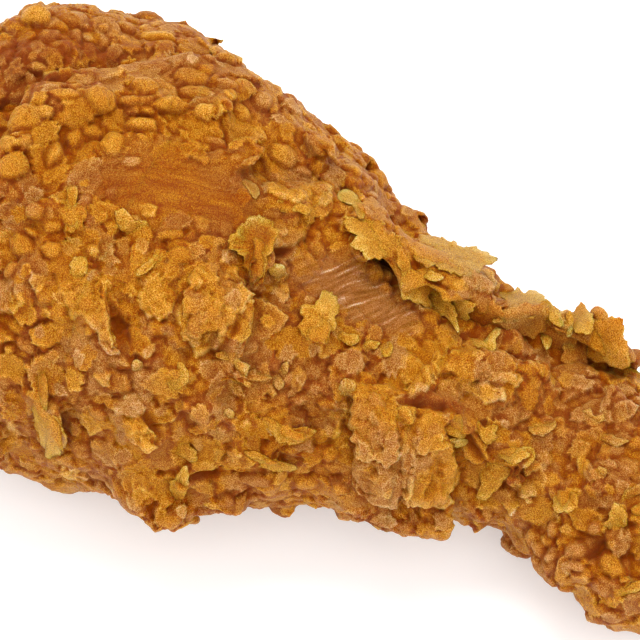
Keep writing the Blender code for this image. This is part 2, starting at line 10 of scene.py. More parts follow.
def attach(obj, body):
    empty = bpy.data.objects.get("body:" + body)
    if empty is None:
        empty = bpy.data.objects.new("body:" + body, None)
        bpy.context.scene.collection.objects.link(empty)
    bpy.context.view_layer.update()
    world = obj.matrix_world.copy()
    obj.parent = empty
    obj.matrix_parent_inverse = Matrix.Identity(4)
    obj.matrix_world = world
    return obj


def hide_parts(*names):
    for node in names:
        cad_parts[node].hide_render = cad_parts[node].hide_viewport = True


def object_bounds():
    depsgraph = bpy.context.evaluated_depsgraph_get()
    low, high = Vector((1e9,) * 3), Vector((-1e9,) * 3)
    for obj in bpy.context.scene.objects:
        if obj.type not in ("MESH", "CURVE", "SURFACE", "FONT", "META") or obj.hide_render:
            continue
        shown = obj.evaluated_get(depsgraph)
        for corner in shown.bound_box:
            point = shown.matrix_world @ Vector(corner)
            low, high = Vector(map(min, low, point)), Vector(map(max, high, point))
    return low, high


# Fried chicken drumstick in a craggy flour crust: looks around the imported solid.
# Metres, +Z up, +X towards the knuckle, -Y is the side that shows.

mm = 0.001
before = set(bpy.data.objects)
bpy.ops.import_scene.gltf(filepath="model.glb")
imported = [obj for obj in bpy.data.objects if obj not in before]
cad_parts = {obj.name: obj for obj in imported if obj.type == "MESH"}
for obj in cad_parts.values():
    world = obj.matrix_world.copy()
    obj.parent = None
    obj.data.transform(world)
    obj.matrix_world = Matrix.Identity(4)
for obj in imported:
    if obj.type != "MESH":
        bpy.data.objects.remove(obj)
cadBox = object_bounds()
print("frame loaded, box", [round(v, 4) for corner in cadBox for v in corner])


# Camera first, because the flakes that show are placed through it

photoCamera = {
    "azimuth": 25.5,
    "elevation": 55.0,
    "lens": 150.0,
    "sensor": 36.0,
    "distance": 0.3375,
    "target": (0.0016, 0.0037, 0.0250),
    "pixels": 640,
    "pixelsPerMetre": 7900,  # at the drumstick
}


def cameraAxes():
    turn, rise = math.radians(photoCamera["azimuth"]), math.radians(photoCamera["elevation"])
    back = np.array([math.sin(turn) * math.cos(rise), -math.cos(turn) * math.cos(rise), math.sin(rise)])
    right = np.array([math.cos(turn), math.sin(turn), 0.0])
    return back, right, np.cross(back, right)


back, right, up = cameraAxes()
eye = np.array(photoCamera["target"]) + back * photoCamera["distance"]


def pixelReach():
    # half the picture in pixels, and how far one pixel reaches at a distance of 1
    half = photoCamera["pixels"] / 2
    return half, photoCamera["sensor"] / 2 / photoCamera["lens"] / half


def pixelRay(px, py):
    half, reach = pixelReach()
    ray = -back + right * (px - half) * reach + up * (half - py) * reach
    return ray / np.linalg.norm(ray)


def addCamera():
    camera = bpy.data.objects.new("photoCamera", bpy.data.cameras.new("photoCamera"))
    camera.data.lens = photoCamera["lens"]
    camera.data.sensor_width = photoCamera["sensor"]
    camera.data.clip_start = 0.01
    camera.data.clip_end = 10
    camera.location = eye
    camera.rotation_euler = Vector(-back).to_track_quat("-Z", "Y").to_euler()
    bpy.context.scene.collection.objects.link(camera)
    bpy.context.scene.camera = camera


addCamera()


# Noise over many points at once

def noiseAt(points, size, shift=0.0):
    offset = Vector((shift, shift * 0.7, -shift))
    values = [noise.noise(Vector(p) / size + offset) for p in points.reshape(-1, 3)]
    return np.array(values).reshape(points.shape[:-1])


def warped(points, amount, size, shift=0.0):
    moved = points.copy()
    for axis in range(3):
        moved[..., axis] += amount * noiseAt(points, size, shift + 11.3 * axis)
    return moved


def cellsAt(points, size):
    # distance to the nearest cell's middle, gap to the next one, and a random number for each cell
    near, gap, number = np.empty(len(points)), np.empty(len(points)), np.empty(len(points))
    for i, p in enumerate(points):
        distances, middles = noise.voronoi(Vector(p) / size)
        near[i], gap[i] = distances[0], distances[1] - distances[0]
        number[i] = noise.cell(middles[0] * 7.31)
    return near, gap, number


def easeIn(t):
    t = np.clip(t, 0, 1)
    return t * t * (3 - 2 * t)


# The crust's body: the solid without its facets, then layered plates and nubbles pressed out of it

crustBody = {
    "voxel": 0.00041,
    "smoothRounds": 8,
    "calmRounds": 20,
    "keptForm": (0.0003, 0.0009),
    "inset": 0.0001,
    "grainSize": 0.0011,
    "grainHeight": 0.00012,
    "softenRounds": 1,
    "highest": 0.0016,
    "lowest": -0.0017,
    "shownZones": 4,
    "otherZones": 2,
    "formRounds": 6,
    "evenRounds": 160,
    "wayRounds": 4,
    "fineRounds": 3,
    "normalRounds": 8,
    "seenFacing": -0.03,
    "seenMargin": 25,
    "fineReliefRounds": 18,
    "reliefRounds": 125,
    "fineRelief": 0.0003,
    "relief": 0.0007,
    "patchSize": 0.014,
}


def meshArrays(mesh):
    points = np.empty(len(mesh.vertices) * 3)
    mesh.vertices.foreach_get("co", points)
    edges = np.empty(len(mesh.edges) * 2, int)
    mesh.edges.foreach_get("vertices", edges)
    corners = np.empty(len(mesh.loops), int)
    mesh.loops.foreach_get("vertex_index", corners)
    return points.reshape(-1, 3), edges.reshape(-1, 2), corners.reshape(-1, 4)


def sidesOf(faces):
    return np.sort(np.stack([faces, np.roll(faces, -1, axis=1)], axis=-1), axis=-1).reshape(-1, 2)


def quartered(points, faces, chosen):
    # quarters the chosen faces; a new point on their border belongs to a side that isn't cut
    mine = faces[chosen]
    ends, index, count = np.unique(sidesOf(mine), axis=0, return_inverse=True, return_counts=True)
    middle = len(points) + index.reshape(-1, 4)
    centre = len(points) + len(ends) + np.arange(len(mine))
    quarters = [np.stack([mine[:, k], middle[:, k], centre, middle[:, k - 1]], axis=1) for k in range(4)]
    together = np.concatenate([points, points[ends].mean(axis=1), points[mine].mean(axis=1)])
    border = count == 1
    return together, np.concatenate(quarters), (len(points) + np.nonzero(border)[0], ends[border])


def neighbourMean(values, edges):
    count = len(values)
    total = np.zeros((count, values.shape[1]))
    share = np.zeros(count)
    for here, there in ((0, 1), (1, 0)):
        share += np.bincount(edges[:, here], minlength=count)
        for k in range(values.shape[1]):
            total[:, k] += np.bincount(edges[:, here], weights=values[edges[:, there], k], minlength=count)
    return total / np.maximum(share, 1)[:, None]


def smoothed(values, edges, rounds, strength=0.5):
    flat = values.reshape(len(values), -1)
    for _ in range(rounds):
        flat = flat + strength * (neighbourMean(flat, edges) - flat)
    return flat.reshape(values.shape)


def pointNormals(points, faces):
    across = np.cross(points[faces[:, 2]] - points[faces[:, 0]], points[faces[:, 3]] - points[faces[:, 1]])
    total = np.zeros_like(points)
    for corner in range(4):
        for k in range(3):
            total[:, k] += np.bincount(faces[:, corner], weights=across[:, k], minlength=len(points))
    return total / np.maximum(np.linalg.norm(total, axis=1, keepdims=True), 1e-12)


def evenMesh(source, voxel):
    body = bpy.data.objects.new("even", source.data.copy())
    bpy.context.scene.collection.objects.link(body)
    remesh = body.modifiers.new("even", "REMESH")
    remesh.mode = "VOXEL"
    remesh.voxel_size = voxel
    graph = bpy.context.evaluated_depsgraph_get()
    mesh = bpy.data.meshes.new_from_object(body.evaluated_get(graph))
    arrays = meshArrays(mesh)
    bpy.data.objects.remove(body)
    bpy.data.meshes.remove(mesh)
    return arrays


def surfaceTree(points, faces):
    return BVHTree.FromPolygons(points.tolist(), faces.tolist())


def toPixels(points):
    apart = points - eye
    depth = -(apart @ back)
    scale = photoCamera["pixels"] * photoCamera["lens"] / photoCamera["sensor"] / depth
    half = photoCamera["pixels"] / 2
    return half + (apart @ right) * scale, half - (apart @ up) * scale


def inPhoto(across, down, margin):
    # whether pixels lie in the photo or within a margin round it
    half = photoCamera["pixels"] / 2
    return (np.abs(across - half) < half + margin) & (np.abs(down - half) < half + margin)


def onSurface(tree, px, py):
    # the point that shows at a pixel, or at the nearest one above or below it that the crust covers
    for step in range(0, 40, 2):
        for rise in (step, -step):
            spot, normal, _, _ = tree.ray_cast(Vector(eye), Vector(pixelRay(px, py - rise)))
            if spot is not None:
                return np.array(spot), np.array(normal)
    raise ValueError(f"nothing near pixel {px}, {py}")


def imageWay(degrees, normal):
    # a direction of the picture, counter-clockwise from right, laid on the surface
    way = right * math.cos(math.radians(degrees)) + up * math.sin(math.radians(degrees))
    way = way - normal * (way @ normal)
    return way / np.linalg.norm(way)


# Areas of the crust that differ: pixel of the middle, half lengths in mm and the way of the longer one
crustAreas = {
    "calm": [(188, 186, 9.5, 5.0, -8), (140, 178, 6.0, 3.5, 10), (225, 205, 4.0, 3.5, -30)],
    "bare": [(348, 289, 7.0, 3.2, -18), (388, 312, 4.2, 1.9, -24)],
    "oily": [(86, 490, 4.0, 2.0, -10), (137, 512, 4.5, 2.6, -15), (200, 508, 5.5, 2.2, 0),
             (370, 522, 6.0, 2.2, -14), (425, 534, 4.5, 2.0, -10), (262, 430, 3.5, 1.6, -30)],
    # deep: dark gaps, painted darker and browner as shade
    "deep": [(48, 72, 7, 1.5, 12), (18, 50, 4, 2.6, 30), (66, 46, 2.6, 1.4, 70), (96, 52, 4.5, 1.3, -8),
             (135, 48, 3, 1, -15), (20, 88, 3, 1.0, 30), (440, 400, 5, 1.0, -6), (510, 478, 1.6, 1.2, 0)],
    "nubbly": [(140, 85, 17, 4.5, -8), (300, 130, 12, 5, -45), (70, 150, 4, 6, 60), (330, 215, 8, 4, -40),
             (60, 440, 6, 5, 0), (590, 560, 8, 6, -40)],
}


def areaMask(points, spots, power=4):
    mask = np.zeros(len(points))
    for px, py, along, across, way in spots:
        spot, normal = onSurface(plainTree, px, py)
        ahead = imageWay(way, normal)
        aside = np.cross(normal, ahead)
        apart = points - spot
        reach = ((apart @ ahead) / (along * mm)) ** 2 + ((apart @ aside) / (across * mm)) ** 2
        depth = (apart @ normal) / (6 * mm)
        mask = np.maximum(mask, np.exp(-(reach ** (power / 2)) - depth**4))
    return mask


# Where the photo's outline is fuller or slimmer than the solid's: pixel, half lengths in mm, way,
# then how far the crust moves to the right and up in the picture, in mm
outlineMoves = [
    (228, 76, 10.5, 6.5, -40, 1.4, 1.7), (178, 36, 5.5, 5.0, -25, 0.7, 1.9),
    (206, 46, 3.6, 4.0, -35, 0.4, 0.8), (416, 214, 5.0, 5.0, -45, -1.9, -2.3),
    (506, 276, 5.0, 4.5, -30, -1.2, -2.6), (140, 500, 3.6, 3.0, 0, 0, -2.3),
    (552, 562, 4.0, 3.4, -40, -1.2, -1.7), (262, 508, 5.0, 3.0, 0, 0, 1.4), (20, 470, 4.0, 3.0, 0, 0, -0.8),
]

# Where bumps of the solid that the photo doesn't show are evened: pixel, half lengths in mm and way
evenedSpots = [(211, 50, 5.0, 5.0, 0), (414, 200, 3.0, 3.0, 0)]

points, edges, faces = evenMesh(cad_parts["drumstick"], crustBody["voxel"])
shaped = smoothed(points, edges, crustBody["smoothRounds"])
calmed = smoothed(points, edges, crustBody["calmRounds"])
low, high = crustBody["keptForm"]
large = easeIn((np.linalg.norm(shaped - calmed, axis=1) - low) / (high - low))
large = smoothed(large, edges, crustBody["formRounds"])[:, None]
evened = smoothed(calmed, edges, crustBody["evenRounds"])
points = calmed + (shaped - calmed) * large
plainTree = surfaceTree(points, faces)
for spot in evenedSpots:
    points = points + (evened - points) * areaMask(points, [spot])[:, None]
plainTree = surfaceTree(points, faces)
moves = [areaMask(points, [spot])[:, None] * (right * across + up * rise) * mm
         for *spot, across, rise in outlineMoves]
points = points + sum(moves)
pointWays = smoothed(pointNormals(points, faces), edges, crustBody["wayRounds"])
middles = points[faces].mean(axis=1)
across, down = toPixels(middles)
facing = ((eye - middles) * pointWays[faces].mean(axis=1)).sum(axis=1) > crustBody["seenFacing"]
seen = facing & inPhoto(across, down, crustBody["seenMargin"])
plainPoints, shownFaces, (borderPoints, borderEnds) = quartered(points, faces, seen)
otherFaces = faces[~seen]
faces = np.concatenate([shownFaces, otherFaces])
edges = np.unique(sidesOf(faces), axis=0)
plainPoints = smoothed(plainPoints, edges, crustBody["fineRounds"])
plainNormals = smoothed(pointNormals(plainPoints, faces), edges, crustBody["normalRounds"])
plainNormals /= np.linalg.norm(plainNormals, axis=1, keepdims=True)
plainTree = surfaceTree(plainPoints, faces)
print("crust body", len(shownFaces), "fine faces and", len(otherFaces), "others")


areaPowers = {"bare": 4}  # the others fade out more softly
masks = {name: areaMask(plainPoints, spots, areaPowers.get(name, 2.6)) for name, spots in crustAreas.items()}
quiet = np.maximum(masks["calm"], masks["bare"])


class NearPoints:
    # finds the points of the body near a place

    def __init__(self, points, cell):
        self.cell = cell
        self.members = {}
        keys = np.floor(points / cell).astype(int)
        order = np.lexsort(keys.T)
        ordered = keys[order]
        breaks = np.nonzero(np.any(np.diff(ordered, axis=0) != 0, axis=1))[0] + 1
        for group in np.split(order, breaks):
            self.members[tuple(keys[group[0]])] = group

    def find(self, middle, reach):
        low = np.floor((middle - reach) / self.cell).astype(int)
        high = np.floor((middle + reach) / self.cell).astype(int)
        cells = [(i, j, k)
                 for i in range(low[0], high[0] + 1)
                 for j in range(low[1], high[1] + 1)
                 for k in range(low[2], high[2] + 1)]
        found = [self.members[cell] for cell in cells if cell in self.members]
        return np.concatenate(found) if found else np.empty(0, int)


skinWay = {"pixel": (350, 290), "degrees": 24, "along": 0.0034, "across": 0.00042, "height": 0.00007}
calmWay = {"pixel": (188, 186), "degrees": -6, "along": 0.0042, "across": 0.00080}
streakWander = {"amount": 0.0006, "size": 0.004}


def streaksAlong(way, mask):
    spot, normal = onSurface(plainTree, *way["pixel"])
    ahead = imageWay(way["degrees"], normal)
    aside = np.cross(normal, ahead)
    used = np.nonzero(mask > 0.02)[0]
    apart = warped(plainPoints[used], streakWander["amount"], streakWander["size"]) - spot
    streak = np.zeros(len(plainPoints))
    for place, a, b in zip(used, apart @ ahead / way["along"], apart @ aside / way["across"]):
        streak[place] = noise.noise((a, b, 0)) + 0.5 * noise.noise((a, b * 2.3, 7))
    return streak


streaks = streaksAlong(skinWay, masks["bare"])
calmStreaks = masks["calm"] * streaksAlong(calmWay, masks["calm"])
nearBody = NearPoints(plainPoints, 0.0025)
layers = {name: np.zeros(len(plainPoints)) for name in ("height", "tone", "edge", "gold", "fill")}
rims = {
    "outside": 0.0009,
    "curl": 0.0007,
    "pale": 0.0005,
    "paleStart": 0.0001,
    # where the painted shadow outside a rim lies, and how wide it is
    "paintedShadeMiddle": 0.0004,
    "paintedShade": 0.0003,
    "lumpStep": 0.0004,
    "crease": 0.00035,
    "fewest": 8,  # smaller shapes than this many points are left out
}


def paleRim(within):
    # 1 at a plate's rim, fading inwards
    return np.exp(-((within / rims["pale"]) ** 2)) * (within > -rims["paleStart"])


def paintedRimShadow(within):
    # painted shadow on the ground just outside a plate's rim
    return np.exp(-(((within + rims["paintedShadeMiddle"]) / rims["paintedShade"]) ** 2)) * (within < 0)


def lobedOutline(seed, lobes, ragged, count=96):
    # how far a plate's rim is from its middle, with round lobes and sharp notches
    turn = np.linspace(-math.pi, math.pi, count)
    rim = np.empty(count)
    for k, angle in enumerate(turn):
        c, s = math.cos(angle), math.sin(angle)
        wide = abs(noise.noise(Vector((c * lobes, s * lobes, seed))))
        fine = abs(noise.noise(Vector((c * lobes * 2.7, s * lobes * 2.7, seed + 40))))
        lean = noise.noise(Vector((c * 0.8, s * 0.8, seed + 80)))
        rim[k] = 0.74 + ragged * (0.9 * wide + 0.45 * fine) + 0.22 * lean
    return turn, rim


def underShape(shape):
    # the body's points under a shape, how far inside its rim they are and how far ahead
    middle, normal, ahead = shape["middle"], shape["normal"], shape["ahead"]
    length, width = shape["length"], shape["width"]
    near = nearBody.find(middle, max(length, width) * 0.75)
    aside = np.cross(normal, ahead)
    apart = plainPoints[near] - middle
    a, b = apart @ ahead / (length / 2), apart @ aside / (width / 2)
    angle = np.arctan2(b, a)
    reach = np.interp(angle, *shape["outline"])
    span = np.hypot(length / 2 * np.cos(angle), width / 2 * np.sin(angle))
    share = np.hypot(a, b) / reach
    within = (1 - share) * reach * span
    alike = (plainNormals[near] @ normal > 0.2) & (np.abs(apart @ normal) < 0.5 * length)
    use = (within > -rims["outside"]) & alike
    return near[use], within[use], share[use], np.clip(a[use] / reach[use] / 2 + 0.5, 0, 1)


def pressPlate(plate):
    # lays a plate on the layers already there: thin at its root, thicker towards its free rim
    near, within, _, forward = underShape(plate)
    if len(near) < rims["fewest"]:
        return
    covered = within > 0
    ground = layers["height"][near]
    bed = ground
    if covered.any():
        bed = plate["level"] * ground[covered].mean() + (1 - plate["level"]) * ground
    top = plate["height"] * (plate["root"] + (1 - plate["root"]) * forward**1.3)
    top += plate["curl"] * forward * np.exp(-((within / rims["curl"]) ** 2))
    step = easeIn(within / plate["rimWidth"] + 0.3)
    layers["height"][near] = ground + step * (bed + top - ground)
    layers["tone"][near] += step * (plate["tone"] - layers["tone"][near])
    layers["gold"][near] += step * (plate["gold"] - layers["gold"][near])
    pale = paleRim(within) * (0.25 + 0.75 * forward) * plate["pale"]
    # painted shadow on the ground outside the rim, strongest below the free side
    paintedShade = paintedRimShadow(within) * (0.3 + 0.7 * forward)
    layers["edge"][near] = np.where(covered, pale, layers["edge"][near] - 0.45 * paintedShade)


def pressLump(lump):
    # swells a round lump of dough out of the layers, with a crease where it meets its neighbours
    near, within, share, _ = underShape(lump)
    if len(near) < rims["fewest"]:
        return
    covered = share < 1
    ground = layers["height"][near]
    bed = 0.6 * ground[covered].mean() + 0.4 * ground if covered.any() else ground
    top = bed + lump["height"] * (np.clip(1 - share**2.4, 0, 1) ** 0.55 - 0.15)
    risen = np.where(covered, np.maximum(ground, top), ground)
    crease = 0.25 * lump["height"] * np.exp(-((within / rims["crease"]) ** 2))
    layers["height"][near] = risen - crease
    step = easeIn(within / rims["lumpStep"])
    layers["tone"][near] += step * (lump["tone"] - layers["tone"][near])
    layers["gold"][near] += step * (lump["gold"] - layers["gold"][near])
    # painted shade along the crease at the lump's border
    paintedShade = np.exp(-((within / rims["paintedShade"]) ** 2))
    layers["edge"][near] = layers["edge"][near] * (1 - step) - 0.35 * paintedShade


def pressFill(fill):
    near, _, share, _ = underShape(fill)
    swell = np.exp(-(share**3))
    layers["fill"][near] = np.maximum(layers["fill"][near], fill["height"] * swell)
    # the fill takes its tone; the cave fills are dark as painted shade
    layers["tone"][near] += swell * (fill["tone"] - layers["tone"][near])
    layers["gold"][near] += swell * (fill["gold"] - layers["gold"][near])


def pressShadedHollow(hollow):
    # lowers a hollow and paints it dark as shade
    near, _, share, _ = underShape(hollow)
    deep = np.exp(-(share**3))
    layers["height"][near] -= hollow["height"] * deep
    layers["tone"][near] += deep * (-1 - layers["tone"][near])


def spacedPlaces(count, gap, seed, keep):
    # places spread evenly over the body, a gap apart, where keep says so
    rng = np.random.default_rng(seed)
    order = rng.permutation(len(plainPoints))[: count * 25]
    chance = rng.uniform(size=len(order))
    taken, places = {}, []
    for place, luck in zip(order, chance):
        if luck > keep[place]:
            continue
        spot = plainPoints[place]
        i, j, k = (int(v // gap) for v in spot)
        beside = (-1, 0, 1)
        near = (taken.get((i + u, j + v, k + w)) for u in beside for v in beside for w in beside)
        if any(other is not None and np.linalg.norm(spot - other) < gap for other in near):
            continue
        taken[i, j, k] = spot
        places.append(place)
        if len(places) == count:
            break
    return places


def anyWay(rng, normal):
    way = np.cross(normal, np.array([rng.gauss(0, 1), rng.gauss(0, 1), rng.gauss(0, 1)]))
    return way / np.linalg.norm(way)


# Lumps of dough that show: pixel of the middle, length, width and height in mm, way, pale and golden shares
shownLumps = [
    (37, 15, 4.6, 2.9, 0.9, 5, 0.8, 0.8), (72, 20, 4.6, 4.2, 0.9, 0, -0.2, -0.4),
    (107, 15, 3.7, 2.3, 0.5, 10, 0, -0.5), (103, 29, 1.7, 1.9, 0.5, 0, 0.2, 0.2),
    (128, 26, 3.2, 2.4, 0.5, 20, 0, -0.2), (152, 18, 7, 2.4, 0.4, -12, -0.3, -0.5),
    (157, 38, 5.8, 2.3, 0.9, -14, 0.7, 0.9), (195, 35, 5, 3, 0.4, -40, -0.4, -0.4),
    (227, 58, 3, 2, 0.7, -20, 0.2, 0.7), (39, 68, 2.6, 1.8, 0.6, -5, 0.4, 0.4),
    (82, 77, 3.6, 2.9, 0.6, 0, 0.2, 0), (45, 112, 2.6, 2.3, 0.8, 0, 0.6, 0.5),
    (65, 95, 4.4, 1.9, 0.6, 8, 0.3, 0.6), (101, 97, 3.6, 4.2, 0.8, 60, 0.2, 0.9),
    (129, 100, 2.8, 1.9, 0.8, -5, 0.1, 0.4), (147, 86, 4.4, 3.9, 0.7, -30, 0.3, 0.6),
    (148, 111, 2, 1.5, 0.7, -30, 0.2, 0.5), (170, 105, 4.8, 2.2, 0.9, 8, 0.2, 0.6),
    (192, 75, 4.8, 2.6, 0.5, -15, 0.2, 0.6), (195, 90, 4.8, 2.2, 0.5, -20, 0.1, 0.2),
    (227, 83, 2.8, 2.1, 0.6, 10, 0.2, 0), (205, 111, 3, 2.8, 0.7, -30, 0.6, 0.4),
    (243, 112, 2.7, 2.5, 0.7, 0, 0.3, 0.5), (263, 100, 3.8, 2.8, 0.6, 60, 0.2, 0.3),
    (141, 124, 4.6, 2.2, 0.9, -8, 0.6, 0.9), (55, 154, 4.2, 2.2, 0.9, 70, 0.3, 0.8),
    (74, 138, 2.6, 2.4, 0.8, 0, 0.1, 0.6), (92, 131, 2.6, 1.9, 0.7, 0, 0.2, 0.8),
    (111, 143, 4.2, 3.2, 0.8, 80, 0.2, 0.6), (131, 161, 3, 1.9, 0.5, 10, 0.5, 0),
    (216, 142, 3.2, 1.4, 0.5, -15, 0.1, -0.9), (284, 156, 4.4, 3.2, 0.7, -35, 0.3, 0.5),
    (15, 165, 4.8, 4, 0.6, 50, 0.2, 0.7), (20, 118, 5, 3.6, 0.6, 50, 0.2, 0.2),
    (315, 148, 3.5, 2.5, 0.6, -45, 0.1, 0.2), (334, 163, 3.2, 2.2, 0.6, -40, 0.2, 0.5),
    (352, 172, 3.4, 2.2, 0.7, -40, 0.3, 0.6), (378, 180, 3.6, 3, 0.9, -60, 0.2, 0.8),
    (302, 172, 3, 1.6, 0.4, -20, 0.2, 0), (93, 252, 2.1, 2.3, 0.7, 0, 0.8, -0.3),
    (50, 250, 3.3, 2.6, 0.5, 0, 0.2, -0.1), (31, 232, 2.2, 1.5, 0.5, -20, 0.3, 0),
    (54, 227, 2.8, 1.8, 0.4, 10, 0.1, 0), (34, 212, 3, 2.4, 0.4, 0, 0.1, -0.2),
    (170, 235, 3.8, 1.4, 0.4, 0, 0.2, 0), (8, 350, 1.8, 1.3, 0.7, -20, 0.7, 0.3),
    (20, 245, 4, 3, 0.5, -30, 0.1, -0.1), (10, 268, 3, 2, 0.5, 20, 0.1, 0.1),
    (180, 255, 3.4, 2.6, 0.5, 20, 0, 0.7), (375, 270, 3.2, 2.8, 0.9, -70, 0, 0.6),
    (388, 286, 2.2, 2.4, 0.9, 60, -0.2, 0.5), (318, 250, 3.2, 2.2, 0.5, -60, 0.1, 0),
    (330, 268, 2.4, 2.0, 0.5, 30, 0.1, 0.1), (312, 262, 3.6, 1.5, 0.6, -50, 0.2, 0.5),
    (552, 530, 2.6, 2.2, 0.7, 70, 0.1, -0.1), (575, 551, 3.2, 2.8, 0.7, 0, 0.1, -0.3),
    (530, 538, 3, 2.4, 0.7, -40, 0.2, 0.2), (536, 550, 2.6, 2.2, 0.6, -50, 0.1, 0),
    (612, 566, 3.6, 3, 0.8, -70, 0.1, 0.6), (595, 528, 2.4, 2, 0.6, 60, -0.1, -0.3),
    (550, 557, 2.2, 1.6, 0.6, 20, 0.3, 0), (574, 566, 3.2, 1.6, 0.6, -10, 0.3, -0.6),
    (600, 590, 2.4, 3, 0.6, 60, -0.1, -0.3), (565, 598, 2.4, 1.8, 0.6, 0, 0, 0.2),
    (340, 488, 1.8, 2.6, 0.7, 60, 0, 0.4), (254, 480, 4.2, 2.2, 0.5, 5, -0.1, -0.9),
    (306, 484, 3.6, 2.6, 0.6, -30, 0.1, 0.4), (330, 455, 2.6, 2.4, 0.6, -30, 0.1, 0.4),
    (98, 415, 3, 2.2, 0.5, -60, 0.1, 0),
]
# Hollows between them, painted dark as shade, with their depth in place of the height
shownHollows = [
    (48, 73, 12, 2.4, 1.5, 12), (597, 551, 3, 2.2, 1.7, 60), (628, 527, 2, 1.6, 1.2, 0),
    (119, 325, 7, 1.5, 0.8, -72), (279, 252, 2.8, 1.2, 1.0, 5), (468, 440, 9, 1.3, 1.1, -65),
    (513, 475, 2.2, 1.6, 1.4, 0), (205, 476, 6.5, 1.5, 1.0, 0), (394, 283, 2.8, 1.2, 0.9, 80),
    (152, 424, 5, 1.1, 0.7, -40), (430, 404, 7, 1.3, 0.9, -4), (234, 331, 3, 1, 0.6, 60),
    (250, 255, 5, 1.6, 0.8, -78), (480, 330, 9, 1.6, 0.9, -8), (545, 338, 6, 1.6, 1.0, -8),
    (20, 60, 5, 3, 0.8, 30),
]
